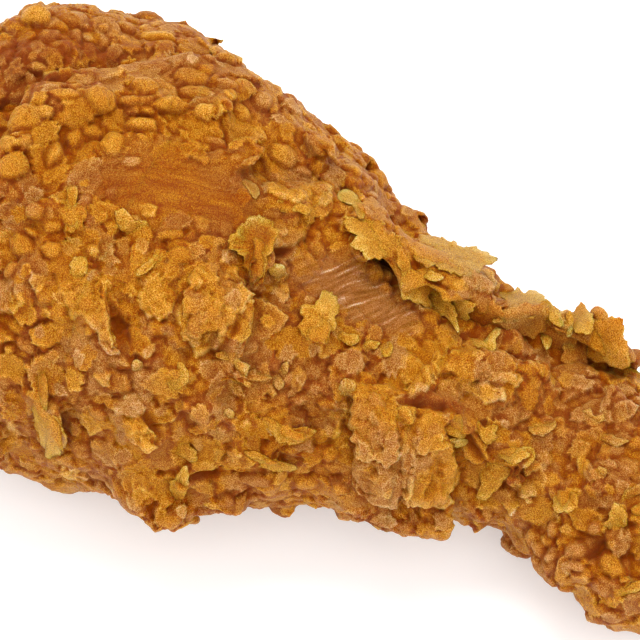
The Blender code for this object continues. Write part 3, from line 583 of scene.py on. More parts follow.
# Flakes that show: pale and golden shares, lift in mm, then the outline in pixels from the root
shownFlakes = [
    # the first four line the cave under the curtain; their low pale shares paint shade into it
    (-0.3, 0.1, 1.6, [(482, 334), (468, 326), (464, 314), (474, 303), (490, 301), (502, 308), (504, 320),
     (494, 330)], {"stiff": 60}),
    (-0.2, 0.0, 1.8, [(530, 338), (514, 334), (502, 330), (498, 320), (506, 308), (526, 304), (542, 308),
     (548, 320), (544, 332)], {"stiff": 60}),
    (-0.5, -0.1, 0.8, [(550, 350), (540, 342), (540, 326), (554, 320), (570, 324), (578, 334), (574, 348),
     (562, 356)]),
    (-0.5, 0.0, 0.5, [(566, 368), (562, 354), (566, 340), (578, 334), (588, 340), (590, 354), (588, 366),
     (578, 372)]),
    (0.4, 0.4, 0.6, [(61, 212), (67, 198), (67, 187), (74, 186), (78, 190), (76, 205), (78, 222), (75, 232),
     (66, 230)]),
    (0.9, 0.5, 0.8, [(140, 237), (126, 233), (118, 224), (114, 213), (120, 208), (128, 211), (134, 220),
     (146, 222), (153, 236), (149, 241)]),
    (0.6, 0.3, 0.6, [(166, 250), (168, 257), (158, 263), (146, 274), (137, 274), (140, 267), (152, 258),
     (156, 249)]),
    (1.0, 0.6, 0.9, [(76, 281), (69, 279), (70, 268), (72, 258), (80, 256), (88, 262), (86, 274), (82, 282)]),
    (0.6, 0.3, 0.6, [(238, 178), (250, 180), (258, 187), (259, 193), (255, 199), (249, 191)]),
    (0.4, 0.5, 0.6, [(285, 201), (302, 204), (311, 211), (306, 215), (298, 212), (286, 213), (278, 210),
     (277, 202)]),
    (1.0, 0.6, 0.7, [(366, 214), (360, 219), (354, 210), (346, 203), (337, 200), (337, 193), (343, 189),
     (351, 190), (358, 197), (363, 205)]),
    # a cupped flake; its middle is painted darker as shade
    (0.3, 0.7, 0.8, [(254, 286), (247, 270), (241, 254), (229, 248), (233, 236), (241, 224), (249, 216),
     (262, 217), (273, 223), (277, 234), (272, 248), (267, 258), (266, 271), (261, 283)], {"cup": 0.0009,
     "dome": -0.0003, "hollow": 0.8, "pale": 1.0}),
    (1.0, 0.2, 0.8, [(278, 281), (271, 276), (269, 268), (275, 264), (283, 264), (287, 273), (286, 280)]),
    (0.9, 1.0, 1.0, [(316, 344), (305, 338), (298, 327), (303, 318), (300, 311), (308, 304), (317, 302),
     (321, 294), (324, 288), (331, 292), (337, 298), (338, 308), (334, 317), (337, 325), (331, 333),
     (326, 341)]),
    (0.8, 0.8, 0.7, [(334, 328), (345, 333), (356, 334), (360, 340), (352, 346), (343, 342), (335, 336)]),
    (1.1, 0.6, 0.6, [(362, 345), (370, 340), (380, 342), (377, 348), (368, 351), (363, 350)]),
    (0.9, 0.5, 0.6, [(380, 345), (388, 341), (393, 348), (390, 356), (384, 357), (380, 351)]),
    (1.2, 1.0, 1.2, [(384, 232), (398, 236), (403, 246), (408, 256), (396, 257), (386, 257), (376, 258),
     (366, 256), (359, 250), (352, 244), (356, 236), (346, 230), (344, 220), (354, 218), (368, 218),
     (384, 222)]),
    (1.3, 1.0, 1.3, [(420, 275), (434, 286), (430, 298), (436, 315), (426, 308), (414, 302), (402, 298),
     (400, 286), (402, 272), (396, 262), (399, 250), (408, 256), (411, 266)]),
    (1.2, 0.9, 1.4, [(434, 284), (446, 290), (452, 300), (456, 312), (459, 333), (452, 324), (446, 318),
     (435, 314), (428, 304), (424, 290)]),
    (0.8, 0.4, 0.9, [(434, 266), (424, 268), (414, 254), (418, 236), (430, 235), (450, 240), (463, 247),
     (470, 244), (480, 250), (498, 257), (495, 263), (485, 266), (482, 269), (470, 276), (450, 274)]),
    (1.3, 0.4, 0.8, [(426, 266), (434, 271), (444, 277), (436, 281), (426, 279), (418, 268)]),
    (1.1, 0.7, 1.1, [(456, 293), (464, 299), (475, 304), (472, 311), (468, 314), (471, 320), (462, 322),
     (456, 324), (452, 312), (449, 300)]),
    (0.9, 0.2, 1.0, [(508, 302), (522, 306), (534, 308), (527, 316), (514, 320), (502, 323), (494, 321),
     (491, 309), (498, 302)]),
    (1.0, 0.6, 1.1, [(520, 304), (508, 304), (500, 296), (498, 287), (508, 292), (519, 288), (524, 294),
     (532, 289), (542, 296), (550, 302), (546, 309), (537, 314), (528, 318)]),
    (0.9, 0.6, 0.9, [(546, 308), (541, 303), (548, 300), (556, 308), (563, 319), (565, 327), (556, 327),
     (549, 318)]),
    (1.1, 0.8, 0.9, [(541, 312), (549, 318), (551, 333), (552, 344), (546, 349), (541, 342), (538, 335),
     (543, 328)]),
    (1.1, 0.8, 0.9, [(566, 316), (570, 311), (574, 318), (573, 328), (572, 337), (567, 337), (565, 328)]),
    (1.2, 1.0, 1.1, [(574, 312), (580, 303), (587, 309), (595, 318), (594, 328), (588, 335), (578, 334),
     (572, 325)]),
    (0.9, 0.5, 0.9, [(590, 312), (597, 306), (606, 311), (608, 320), (598, 322)]),
    (0.7, 0.8, 1.9, [(592, 334), (592, 322), (606, 319), (621, 319), (624, 332), (626, 345), (629, 356),
     (628, 367), (616, 368), (604, 363), (586, 360), (588, 346)], {"stiff": 90, "dome": 0.0006}),
    (0.8, 0.8, 0.9, [(48, 398), (45, 412), (56, 416), (66, 436), (65, 446), (58, 456), (50, 460), (45, 458),
     (46, 448), (41, 443), (37, 430), (33, 414), (33, 402), (37, 392), (35, 375), (41, 371), (47, 380)]),
    (1.2, 0.4, 0.7, [(140, 372), (133, 372), (131, 366), (135, 360), (142, 362), (144, 369)]),
    (0.9, 0.6, 0.8, [(172, 377), (177, 368), (178, 361), (184, 365), (188, 374), (187, 383), (180, 388),
     (172, 389), (166, 384), (166, 377)]),
    (0.5, 0.3, 0.6, [(176, 444), (181, 436), (189, 438), (190, 446), (195, 450), (197, 460), (190, 462),
     (182, 458), (170, 451)]),
    (0.7, 0.5, 0.9, [(174, 499), (171, 490), (170, 482), (176, 476), (183, 467), (188, 468), (189, 480),
     (187, 490), (182, 500)]),
    (0.8, 0.3, 0.7, [(218, 358), (216, 353), (225, 351), (235, 353), (242, 361), (250, 366), (249, 374),
     (242, 377), (238, 370), (230, 361)]),
    (0.5, 0.4, 0.7, [(256, 368), (266, 374), (272, 379), (262, 382), (250, 381), (243, 376)]),
    (0.6, 0.4, 0.7, [(272, 377), (281, 376), (284, 385), (280, 390), (274, 386)]),
    (0.7, 0.5, 0.7, [(279, 372), (282, 364), (288, 362), (288, 370), (284, 378)]),
    (0.9, 0.3, 0.7, [(344, 397), (338, 393), (342, 381), (350, 378), (356, 384), (354, 391)]),
    (1.0, 1.2, 0.9, [(276, 422), (284, 426), (294, 428), (306, 427), (316, 431), (312, 437), (304, 441),
     (297, 445), (286, 445), (276, 441), (272, 434), (266, 427), (261, 418), (270, 417)]),
    (0.6, 0.5, 0.7, [(243, 453), (255, 451), (266, 456), (278, 461), (291, 464), (299, 469), (290, 472),
     (278, 470), (268, 470), (257, 462)]),
    (0.8, 0.0, 0.6, [(228, 420), (223, 414), (228, 408), (234, 412), (234, 420)]),
    (0.5, 0.6, 1.2, [(396, 420), (394, 410), (404, 406), (411, 412), (414, 423), (405, 425)]),
    (0.5, 0.6, 0.9, [(452, 420), (456, 414), (462, 417), (463, 428), (467, 434), (460, 438), (450, 436),
     (444, 430)]),
    (1.0, 0.1, 0.9, [(446, 440), (458, 437), (468, 440), (466, 445), (455, 447), (448, 444)]),
    (0.5, 0.8, 0.8, [(470, 420), (476, 418), (484, 427), (492, 424), (498, 426), (495, 433), (499, 438),
     (490, 444), (482, 440), (478, 431)]),
    (0.9, 0.6, 0.8, [(506, 447), (516, 446), (526, 451), (532, 455), (524, 459), (512, 464), (502, 460),
     (496, 452)]),
    (0.6, 0.4, 0.7, [(542, 421), (553, 420), (556, 426), (549, 433), (541, 437), (533, 433), (528, 425)]),
    (0.4, 0.4, 1.0, [(490, 460), (501, 461), (511, 465), (508, 475), (501, 483), (495, 492), (486, 500),
     (477, 497), (479, 485), (481, 471)]),
    (0.7, 0.5, 0.8, [(562, 491), (572, 492), (579, 497), (578, 506), (568, 512), (557, 512), (553, 505),
     (554, 496)]),
    (0.6, 0.6, 0.7, [(588, 424), (585, 418), (583, 411), (590, 408), (594, 416), (604, 414), (603, 421),
     (594, 427)]),
    (0.6, 0.4, 0.6, [(596, 428), (604, 433), (613, 435), (620, 438), (629, 441), (618, 446), (606, 443),
     (598, 438)]),
    (0.7, 0.2, 0.6, [(598, 477), (595, 470), (600, 466), (607, 471), (604, 479)]),
    (0.4, 0.3, 0.6, [(620, 502), (626, 490), (642, 483), (643, 492), (629, 498)]),
    (1.0, 0.7, 1.0, [(618, 532), (611, 530), (603, 524), (610, 518), (610, 509), (614, 503), (621, 507),
     (627, 515), (626, 525)]),
    (0.7, 0.3, 0.8, [(642, 519), (634, 515), (631, 508), (642, 504)]),
    (0.7, 0.8, 0.9, [(615, 599), (613, 591), (623, 586), (643, 580), (643, 589), (627, 594)]),
    (1.2, 0.5, 0.7, [(468, 338), (480, 340), (487, 343), (490, 335), (496, 327), (501, 330), (496, 340),
     (494, 351), (486, 350), (476, 347), (462, 345)]),
]
# Parts of the crust that stand out but have grown together with it: the same, with their rise in mm
shownPlates = [
    (0.3, -0.4, 0.4, [(140, 205), (149, 200), (158, 206), (153, 216), (144, 215)]),
    (0.2, 0.3, 0.6, [(160, 262), (172, 258), (181, 268), (180, 298), (172, 306), (171, 312), (162, 319),
     (151, 318), (141, 311), (138, 300), (144, 278)]),
    (0.2, 0.1, 0.8, [(202, 278), (205, 262), (222, 262), (238, 270), (244, 286), (249, 303), (243, 311),
     (233, 315), (220, 304), (207, 296)]),
    (0.4, 0.4, 0.9, [(208, 296), (222, 304), (235, 315), (230, 328), (222, 341), (214, 350), (204, 354),
     (196, 357), (192, 352), (194, 343), (184, 338), (181, 326), (176, 315), (180, 303), (192, 298)]),
    (0.3, 0.4, 0.7, [(96, 284), (101, 295), (107, 308), (110, 325), (114, 343), (118, 354), (105, 353),
     (98, 340), (92, 325), (80, 317), (72, 318), (66, 306), (62, 292), (62, 283), (74, 281), (86, 277)]),
    (0.4, 0.3, 0.5, [(50, 281), (42, 287), (36, 298), (32, 290), (30, 272), (40, 274), (50, 277), (60, 281)]),
    (0.2, 0.0, 0.5, [(4, 290), (14, 288), (22, 293), (22, 304), (14, 312), (5, 314), (-4, 308), (-4, 292)]),
    (0.4, -0.2, 0.5, [(188, 276), (194, 275), (201, 283), (199, 289), (192, 288)]),
    (0.3, 0.3, 0.6, [(290, 181), (305, 184), (311, 192), (309, 199), (299, 201), (285, 200), (271, 196),
     (264, 190), (263, 181), (276, 178)]),
    (0.2, -0.1, 0.5, [(312, 186), (325, 189), (334, 196), (336, 202), (322, 204), (312, 200)]),
    (0.1, -0.3, 0.6, [(296, 227), (300, 236), (296, 245), (284, 247), (272, 246), (273, 235), (282, 227)]),
    (0.5, -0.1, 0.5, [(234, 250), (234, 259), (227, 264), (222, 260), (224, 252), (229, 247)]),
    (0.4, 0.2, 0.6, [(276, 280), (288, 284), (291, 295), (284, 303), (276, 297), (272, 288)]),
    (0.3, 0.3, 0.8, [(456, 280), (470, 272), (482, 269), (490, 277), (499, 288), (490, 293), (478, 291),
     (468, 288)]),
    (0.4, 0.0, 0.5, [(95, 368), (102, 366), (109, 376), (108, 383), (103, 386), (98, 378)]),
    (0.4, 0.0, 0.5, [(114, 416), (114, 408), (124, 407), (123, 415)]),
    (0.5, 0.2, 0.6, [(128, 404), (138, 400), (146, 408), (145, 415), (138, 413), (131, 409)]),
    (0.4, 0.1, 0.6, [(122, 418), (133, 419), (145, 425), (154, 434), (158, 441), (149, 436), (139, 430),
     (128, 425)]),
    (0.4, 0.1, 0.6, [(121, 430), (132, 430), (145, 438), (153, 447), (148, 452), (139, 444), (128, 437)]),
    (0.6, 0.2, 0.5, [(70, 481), (62, 475), (64, 469), (72, 468), (78, 473), (76, 481)]),
    (0.3, 0.1, 0.5, [(10, 444), (3, 436), (8, 423), (17, 428), (20, 444)]),
    (0.5, 0.3, 0.5, [(316, 430), (330, 428), (342, 432), (338, 438), (322, 438)]),
    (0.4, 0.1, 0.5, [(232, 462), (228, 455), (236, 448), (242, 455), (239, 463)]),
    (0.5, 0.1, 0.5, [(244, 432), (241, 425), (247, 421), (251, 427), (249, 434)]),
    (0.2, 0.1, 1.1, [(380, 391), (396, 396), (401, 406), (396, 422), (400, 445), (398, 458), (388, 466),
     (376, 459), (362, 461), (356, 447), (350, 430), (343, 414), (344, 402), (360, 394)]),
    (0.0, -0.5, 1.3, [(378, 460), (392, 468), (403, 475), (404, 490), (397, 501), (380, 501), (362, 494),
     (352, 481), (353, 466), (362, 462)]),
    (0.2, 0.0, 1.0, [(410, 424), (416, 438), (412, 460), (410, 480), (408, 498), (401, 500), (404, 475),
     (400, 450), (402, 430)]),
    (0.3, 0.2, 1.2, [(420, 414), (432, 412), (446, 416), (447, 428), (442, 440), (452, 446), (456, 460),
     (460, 476), (452, 487), (446, 493), (450, 502), (444, 508), (430, 505), (415, 502), (406, 492),
     (408, 475), (412, 455), (416, 435)]),
    (0.4, 0.1, 0.7, [(526, 480), (534, 484), (535, 495), (529, 501), (522, 496), (519, 485)]),
    (0.2, 0.0, 0.6, [(546, 448), (554, 455), (550, 466), (543, 472), (534, 470), (526, 475), (524, 465),
     (534, 455)]),
    (0.5, 0.0, 0.5, [(512, 501), (521, 506), (515, 511), (505, 508), (503, 502)]),
    (0.4, 0.2, 0.5, [(440, 347), (438, 360), (440, 372), (436, 378), (431, 369), (432, 352)]),
    (0.4, 0.5, 0.6, [(402, 353), (416, 356), (430, 370), (435, 384), (424, 393), (412, 394), (404, 382),
     (400, 366)]),
    (0.9, 0.6, 0.6, [(456, 380), (472, 380), (490, 384), (504, 388), (503, 398), (495, 404), (484, 405),
     (477, 398), (466, 393)]),
    (0.8, 0.3, 0.5, [(484, 375), (500, 372), (519, 374), (524, 379), (519, 386), (507, 382), (492, 381)]),
]
# Crust that fills the cave under the curtain of sheets, as lumps with their heights in mm; their dark tones are
# painted shade
shownFills = [
    (470, 331, 6, 3, 1.2, -12, -0.5, 0.2), (500, 334, 6, 3.4, 1.5, -8, -0.5, 0.1),
    (530, 340, 6, 3.4, 1.6, -10, -0.5, 0.2), (560, 350, 6, 3.4, 1.7, -15, -0.5, 0.2),
    (590, 364, 6, 3.2, 1.6, -18, -0.4, 0.3), (620, 376, 5, 2.6, 1.2, -18, -0.3, 0.3),
]
# Random plates and lumps over the whole crust, the wide ones first
plateKinds = {
    "wide": {"count": 300, "gap": 0.0050, "lengths": (0.0055, 0.0120),
             "heights": (0.0003, 0.0008), "seed": 5},
    "middling": {"count": 600, "gap": 0.0034, "lengths": (0.0026, 0.0060),
                 "heights": (0.00012, 0.00045), "seed": 6},
    "small": {"count": 900, "gap": 0.0018, "lengths": (0.0012, 0.0030),
              "heights": (0.00008, 0.00030), "seed": 7},
}
lumpKinds = {
    "large": {"count": 1700, "gap": 0.0026, "lengths": (0.0022, 0.0044),
              "heights": (0.0003, 0.0007), "seed": 21},
    "little": {"count": 2600, "gap": 0.0014, "lengths": (0.0014, 0.0031),
               "heights": (0.00010, 0.00028), "seed": 22},
}


plateMake = {"level": 0.75, "rimWidth": 0.00022, "highestCurl": 0.0003}


def layPlates(name):
    kind = plateKinds[name]
    rng = random.Random(kind["seed"])
    places = spacedPlaces(kind["count"], kind["gap"], kind["seed"], 1 - np.clip(1.5 * quiet, 0, 1))
    for place in places:
        length = rng.uniform(*kind["lengths"])
        pressPlate({
            "middle": plainPoints[place],
            "normal": plainNormals[place],
            "ahead": anyWay(rng, plainNormals[place]),
            "length": length,
            "width": length * rng.uniform(0.5, 0.9),
            "height": rng.uniform(*kind["heights"]),
            "level": plateMake["level"],
            "root": rng.uniform(0.0, 0.5),
            "curl": rng.uniform(0, plateMake["highestCurl"]),
            "rimWidth": plateMake["rimWidth"],
            "tone": rng.uniform(-0.25, 0.3),
            "gold": rng.uniform(-1, 1),
            "pale": rng.uniform(0.2, 1.0),
            "outline": lobedOutline(rng.uniform(0, 900), rng.uniform(0.8, 1.8), rng.uniform(0.4, 0.9)),
        })
    print("plates", name, len(places))


def layLumps(name, keep):
    kind = lumpKinds[name]
    rng = random.Random(kind["seed"])
    keep = keep * (1 - np.clip(1.4 * quiet, 0, 1))
    places = spacedPlaces(kind["count"], kind["gap"], kind["seed"], keep)
    for place in places:
        length = rng.uniform(*kind["lengths"])
        pressLump({
            "middle": plainPoints[place],
            "normal": plainNormals[place],
            "ahead": anyWay(rng, plainNormals[place]),
            "length": length,
            "width": length * rng.uniform(0.6, 1.0),
            "height": rng.uniform(*kind["heights"]),
            "tone": rng.uniform(-0.15, 0.45),
            "gold": rng.uniform(-1, 1),
            "outline": lobedOutline(rng.uniform(0, 900), 1.2, 0.6),
        })
    print("lumps", name, len(places))


shownGrowth = 1.15


def layShown(spots, press):
    for number, (px, py, length, width, height, way, *looks) in enumerate(spots):
        spot, normal = onSurface(plainTree, px, py)
        tone, gold = looks or (-1, 0)
        press({
            "middle": spot,
            "normal": normal,
            "ahead": imageWay(way, normal),
            "length": length * shownGrowth * mm,
            "width": width * shownGrowth * mm,
            "height": height * mm,
            "tone": tone,
            "gold": gold,
            "outline": lobedOutline(number * 3.1, 0.9, 0.25),
        })


def insideOutline(across, down, corners):
    # which places lie inside a closed outline
    inside = np.zeros(len(across), bool)
    for (x1, y1), (x2, y2) in zip(corners, corners[1:] + corners[:1]):
        level = (x2 - x1) * (down - y1) / (y2 - y1 + 1e-9) + x1
        inside ^= ((y1 > down) != (y2 > down)) & (across < level)
    return inside


def rimDistance(across, down, corners):
    # pixels from each place to a closed outline, positive inside it
    near = np.full(len(across), 1e9)
    for (x1, y1), (x2, y2) in zip(corners, corners[1:] + corners[:1]):
        along, rise = x2 - x1, y2 - y1
        share = np.clip(((across - x1) * along + (down - y1) * rise) / (along**2 + rise**2), 0, 1)
        near = np.minimum(near, np.hypot(across - x1 - share * along, down - y1 - share * rise))
    return np.where(insideOutline(across, down, corners), near, -near)


def facingCamera():
    # the body's points that face the camera, and their pixels
    facing = np.nonzero(((eye - plainPoints) * plainNormals).sum(axis=1) > 0.02)[0]
    return facing, *toPixels(plainPoints[facing])


grownPlates = {
    "raggedSize": 0.0011,
    "fineRaggedSize": 0.0005,
    "ragged": 0.0005,
    "rimWidth": 0.00035,
    "margin": 8,  # pixels round an outline that are looked at
}


def layShownPlates():
    # raises parts of the crust with the lumps on them, most at the rim that is farthest from the root
    g = grownPlates
    facing, across, down = facingCamera()
    ragged = noiseAt(plainPoints[facing], g["raggedSize"], 3.0)
    ragged += 0.5 * noiseAt(plainPoints[facing], g["fineRaggedSize"], 5.0)
    for tone, gold, rise, corners in shownPlates:
        low, high = np.min(corners, axis=0) - g["margin"], np.max(corners, axis=0) + g["margin"]
        close = (across > low[0]) & (across < high[0]) & (down > low[1]) & (down < high[1])
        close = np.nonzero(close)[0]
        within = rimDistance(across[close], down[close], corners) / photoCamera["pixelsPerMetre"]
        within += g["ragged"] * ragged[close]
        root, middle = np.array(corners[0]), np.mean(corners, axis=0)
        ahead = (middle - root) / np.linalg.norm(middle - root)
        reach = np.max((np.array(corners) - root) @ ahead)
        forward = (across[close] - root[0]) * ahead[0] + (down[close] - root[1]) * ahead[1]
        forward = np.clip(forward / reach, 0, 1)
        step = easeIn(within / g["rimWidth"] + 0.3)
        mine = facing[close]
        layers["fill"][mine] += step * rise * mm * (0.2 + 0.75 * forward)
        layers["tone"][mine] += 0.5 * step * (tone - layers["tone"][mine])
        layers["gold"][mine] += 0.5 * step * (gold - layers["gold"][mine])
        pale = paleRim(within) * forward
        # painted shadow just outside the rim, most on the free side
        paintedShade = paintedRimShadow(within) * forward
        layers["edge"][mine] = np.maximum(layers["edge"][mine], pale) - 0.8 * paintedShade


def layBeds():
    # smooths the crust under the flakes that show, so that no lump sticks through them
    facing, across, down = facingCamera()
    for tone, gold, _, corners, *_ in shownFlakes:
        mine = facing[insideOutline(across, down, corners)]
        if len(mine) < rims["fewest"]:
            continue
        ground = layers["height"][mine]
        layers["height"][mine] = np.clip(0.85 * ground.mean() + 0.15 * ground, -1, ground.mean() + 0.0001)
        layers["tone"][mine] += 0.7 * (0.4 * tone - layers["tone"][mine])
        layers["gold"][mine] += 0.7 * (gold - layers["gold"][mine])
        layers["edge"][mine] = 0


def shapeBody():
    s = crustBody
    patches = np.clip(0.5 + 1.6 * noiseAt(plainPoints, s["patchSize"], 8.0), 0, 1)
    layPlates("wide")
    layLumps("large", np.clip(0.2 + 0.5 * patches + masks["nubbly"], 0, 1))
    layLumps("little", 0.15 + 0.85 * patches**2)
    layPlates("middling")
    layPlates("small")
    layBeds()
    layers["gold"] += 0.5 * masks["nubbly"] + 0.7 * masks["calm"]
    # the deep areas get painted shade, darker and browner
    layers["tone"] += 0.1 * masks["nubbly"] - 1.2 * masks["deep"] - 0.9 * masks["calm"] + 0.9 * calmStreaks
    layers["gold"] -= 0.8 * masks["deep"]
    layers["edge"] *= 1 - np.clip(1.2 * quiet, 0, 1)
    layShown(shownHollows, pressShadedHollow)
    layShown(shownFills, pressFill)
    layShown(shownLumps, pressLump)
    layShownPlates()
    near, gap, number = cellsAt(plainPoints, s["grainSize"])
    grain = (np.clip(1 - (near / 0.7) ** 2, 0, 1) - 0.4) * (0.5 + number)
    height = layers["height"] - np.median(layers["height"]) + s["grainHeight"] * grain
    height *= 1 - 0.85 * masks["bare"] - 0.68 * masks["calm"]
    height = np.clip(height, s["lowest"], s["highest"]) - s["inset"]
    height += skinWay["height"] * (streaks * masks["bare"] + calmStreaks) + layers["fill"]
    raised = smoothed(plainPoints + plainNormals * height[:, None], edges, s["softenRounds"])
    raised[borderPoints] = raised[borderEnds].mean(axis=1)
    return raised, height


def insideBox(points):
    low, high = np.array(cadBox[0]), np.array(cadBox[1])
    return np.clip(points, low, high)


bodyPoints, bodyHeight = shapeBody()
bodyPoints = insideBox(bodyPoints)
bodyNormals = pointNormals(bodyPoints, faces)
fineRelief = bodyHeight - smoothed(bodyHeight, edges, crustBody["fineReliefRounds"])
relief = bodyHeight - smoothed(bodyHeight, edges, crustBody["reliefRounds"])
fineLevel = np.clip(fineRelief / crustBody["fineRelief"], -1, 1)
level = np.clip(relief / crustBody["relief"], -1, 1)
bodyTree = surfaceTree(bodyPoints, faces)
print("crust body shaped, relief", np.percentile(relief, (2, 50, 98)), np.percentile(fineRelief, (2, 50, 98)))


def addAttribute(mesh, name, values):
    attribute = mesh.attributes.new(name, "FLOAT", "POINT")
    attribute.data.foreach_set("value", np.asarray(values, np.float32))


bodyValues = {
    "tone": layers["tone"],
    # pale plate rims, less the painted shadow just outside them and in the creases round lumps
    "edge": layers["edge"],
    # relief: height above the smoothed body, which the finish paints lighter on rises and darker in dips, as
    # painted highlight and shade
    "relief": level * 0.6 + fineLevel * 0.4,
    "gold": layers["gold"],
    "bare": masks["bare"],
    "streak": streaks,
    "oily": masks["oily"],
}


def zonesOf(faceList, count, name):
    # pieces of the body from the meaty end to the knuckle, each with an even share of the faces
    middles = plainPoints[faceList].mean(axis=1)[:, 0]
    limits = np.quantile(middles, np.linspace(0, 1, count + 1))
    for zone in range(count):
        last = zone == count - 1
        mine = faceList[(middles >= limits[zone]) & ((middles < limits[zone + 1]) | last)]
        used = np.unique(mine)
        number = np.zeros(len(bodyPoints), int)
        number[used] = np.arange(len(used))
        mesh = bpy.data.meshes.new(name)
        mesh.from_pydata(bodyPoints[used].tolist(), [], number[mine].tolist())
        for label, values in bodyValues.items():
            addAttribute(mesh, label, values[used])
        mesh.shade_smooth()
        mesh.normals_split_custom_set_from_vertices(bodyNormals[used].tolist())
        made = bpy.data.objects.new(f"{name}{zone + 1}", mesh)
        bpy.context.scene.collection.objects.link(made)
        yield made


pieces = [*zonesOf(shownFaces, crustBody["shownZones"], "crustFront")]
pieces += zonesOf(otherFaces, crustBody["otherZones"], "crustBack")
print("crust body in", len(pieces), "pieces")


# Free flakes: thin sheets of crust with a raised rim

flakeMake = {
    "spacing": 0.00024,
    "ringStep": 0.00036,
    "thickness": 0.00042,
    "sunk": 0.0004,
    "raggedSize": 0.0010,
    "ragged": 0.00056,
    "liftShare": 0.7,
    "rimBand": 0.00080,
    "crumpleSize": 0.0024,
    "crumple": 0.00042,
    "grainSize": 0.0009,
    "grain": 0.00010,
    "nubbleSize": 0.0013,
    "nubble": 0.00021,
    "standoff": 0.004,
    "steepest": 0.8,
    "fullRagged": 0.0024,  # smaller flakes are less ragged
    "lowLift": 0.001,  # flakes lifted less than this keep a share of it
    "tuck": 0.985,  # the underside's rim, as a share of the flake's
    "rimDrop": 0.00012,
    "rootExtra": 0.0003,
    "bedReach": 0.009,
    "bedUnit": 0.003,
    "stiff": 5,
    "dome": 0.0002,
    "pale": 0.6,
}


class Gathered:
    # points, faces and values of many small shapes that become one piece

    def __init__(self):
        self.points, self.faces, self.count = [], [], 0
        self.values = {name: [] for name in ("tone", "edge", "relief", "gold", "bare", "streak", "oily")}

    def add(self, points, faces, **values):
        self.faces += [tuple(i + self.count for i in face) for face in faces]
        self.points.append(points)
        self.count += len(points)
        for name, kept in self.values.items():
            kept.append(np.broadcast_to(values.get(name, 0.0), len(points)))

    def piece(self, name):
        mesh = bpy.data.meshes.new(name)
        mesh.from_pydata(insideBox(np.concatenate(self.points)).tolist(), [], self.faces)
        for label, kept in self.values.items():
            addAttribute(mesh, label, np.concatenate(kept))
        mesh.shade_smooth()
        made = bpy.data.objects.new(name, mesh)
        bpy.context.scene.collection.objects.link(made)
        return made


def plateFaces(spokes, rings):
    # a middle point, rings of points to the rim, then one ring and one point underneath
    faces = []
    for k in range(spokes):
        j = (k + 1) % spokes
        faces.append((0, 1 + k, 1 + j))
        for r in range(rings - 1):
            inner, outer = 1 + r * spokes, 1 + (r + 1) * spokes
            faces.append((inner + k, outer + k, outer + j, inner + j))
        rim, under = 1 + (rings - 1) * spokes, 1 + rings * spokes
        faces.append((rim + k, under + k, under + j, rim + j))
        faces.append((under + k, under + spokes, under + j))
    return faces


def roundedRim(corners, spacing):
    # a closed curve through the corners, with points at even steps
    corners = np.array(corners, float)
    t = np.linspace(0, 1, 8, endpoint=False)[:, None]
    curve = []
    for k in range(len(corners)):
        p0, p1, p2, p3 = (corners[(k + step) % len(corners)] for step in (-1, 0, 1, 2))
        bend = (p2 - p0) * t + (2 * p0 - 5 * p1 + 4 * p2 - p3) * t**2 + (3 * p1 - p0 - 3 * p2 + p3) * t**3
        curve.append(p1 + 0.5 * bend)
    curve = np.concatenate(curve + [corners[:1]])
    run = np.concatenate([[0], np.cumsum(np.linalg.norm(np.diff(curve, axis=0), axis=1))])
    count = int(np.clip(run[-1] / spacing, 14, 120))
    at = np.linspace(0, run[-1], count, endpoint=False)
    return np.stack([np.interp(at, run, curve[:, k]) for k in (0, 1)], axis=1)


def cameraRays(flat):
    half, reach = pixelReach()
    ways = -back + np.outer((flat[:, 0] - half) * reach, right) + np.outer((half - flat[:, 1]) * reach, up)
    return np.tile(eye, (len(flat), 1)), ways


def surfaceRays(spot, normal, ahead):
    aside = np.cross(normal, ahead)

    def rays(flat):
        starts = spot + normal * flakeMake["standoff"]
        starts = starts + np.outer(flat[:, 0], ahead) + np.outer(flat[:, 1], aside)
        return starts, np.tile(-normal, (len(flat), 1))

    return rays


def bedDepth(rays, flat, middle, unit, stiff):
    # a smooth bed through the crust under a flake, as a function of the place on it
    starts, ways = rays(flat)
    depths = []
    for start, way in zip(starts, ways):
        length = np.linalg.norm(way)
        spot, _, _, distance = bodyTree.ray_cast(Vector(start), Vector(way / length))
        depths.append(distance / length if spot is not None else math.nan)
    depths = np.array(depths)
    nearest = np.nanmin(depths) if np.isfinite(depths).any() else math.nan
    fits = np.isfinite(depths) & (depths < nearest + flakeMake["bedReach"])
    if fits.sum() < rims["fewest"]:
        return None

    def terms(places):
        a, b = ((places - middle) * unit / flakeMake["bedUnit"]).T
        return np.stack([np.ones_like(a), a, b, a * a, a * b, b * b], axis=1)

    weights = np.array([1, 1, 1, 0.6, 0.6, 0.6])
    held = np.diag([0, stiff / 10, stiff / 10, stiff, stiff, stiff])
    rows = np.concatenate([terms(flat[fits]) * weights, held])
    wanted = np.concatenate([depths[fits], np.zeros(6)])
    fit = np.linalg.lstsq(rows, wanted, rcond=None)[0] * weights
    rough = np.std(depths[fits] - terms(flat[fits]) @ fit)
    return lambda places: terms(places) @ fit - 0.25 * rough


def jagged(rim, unit, seed):
    # noise along a rim, with finer noise on it
    spots = [Vector((x * unit, y * unit, seed)) / flakeMake["raggedSize"] for x, y in rim]
    return np.array([noise.noise(spot) + 0.6 * noise.noise(spot * 2.6) for spot in spots])


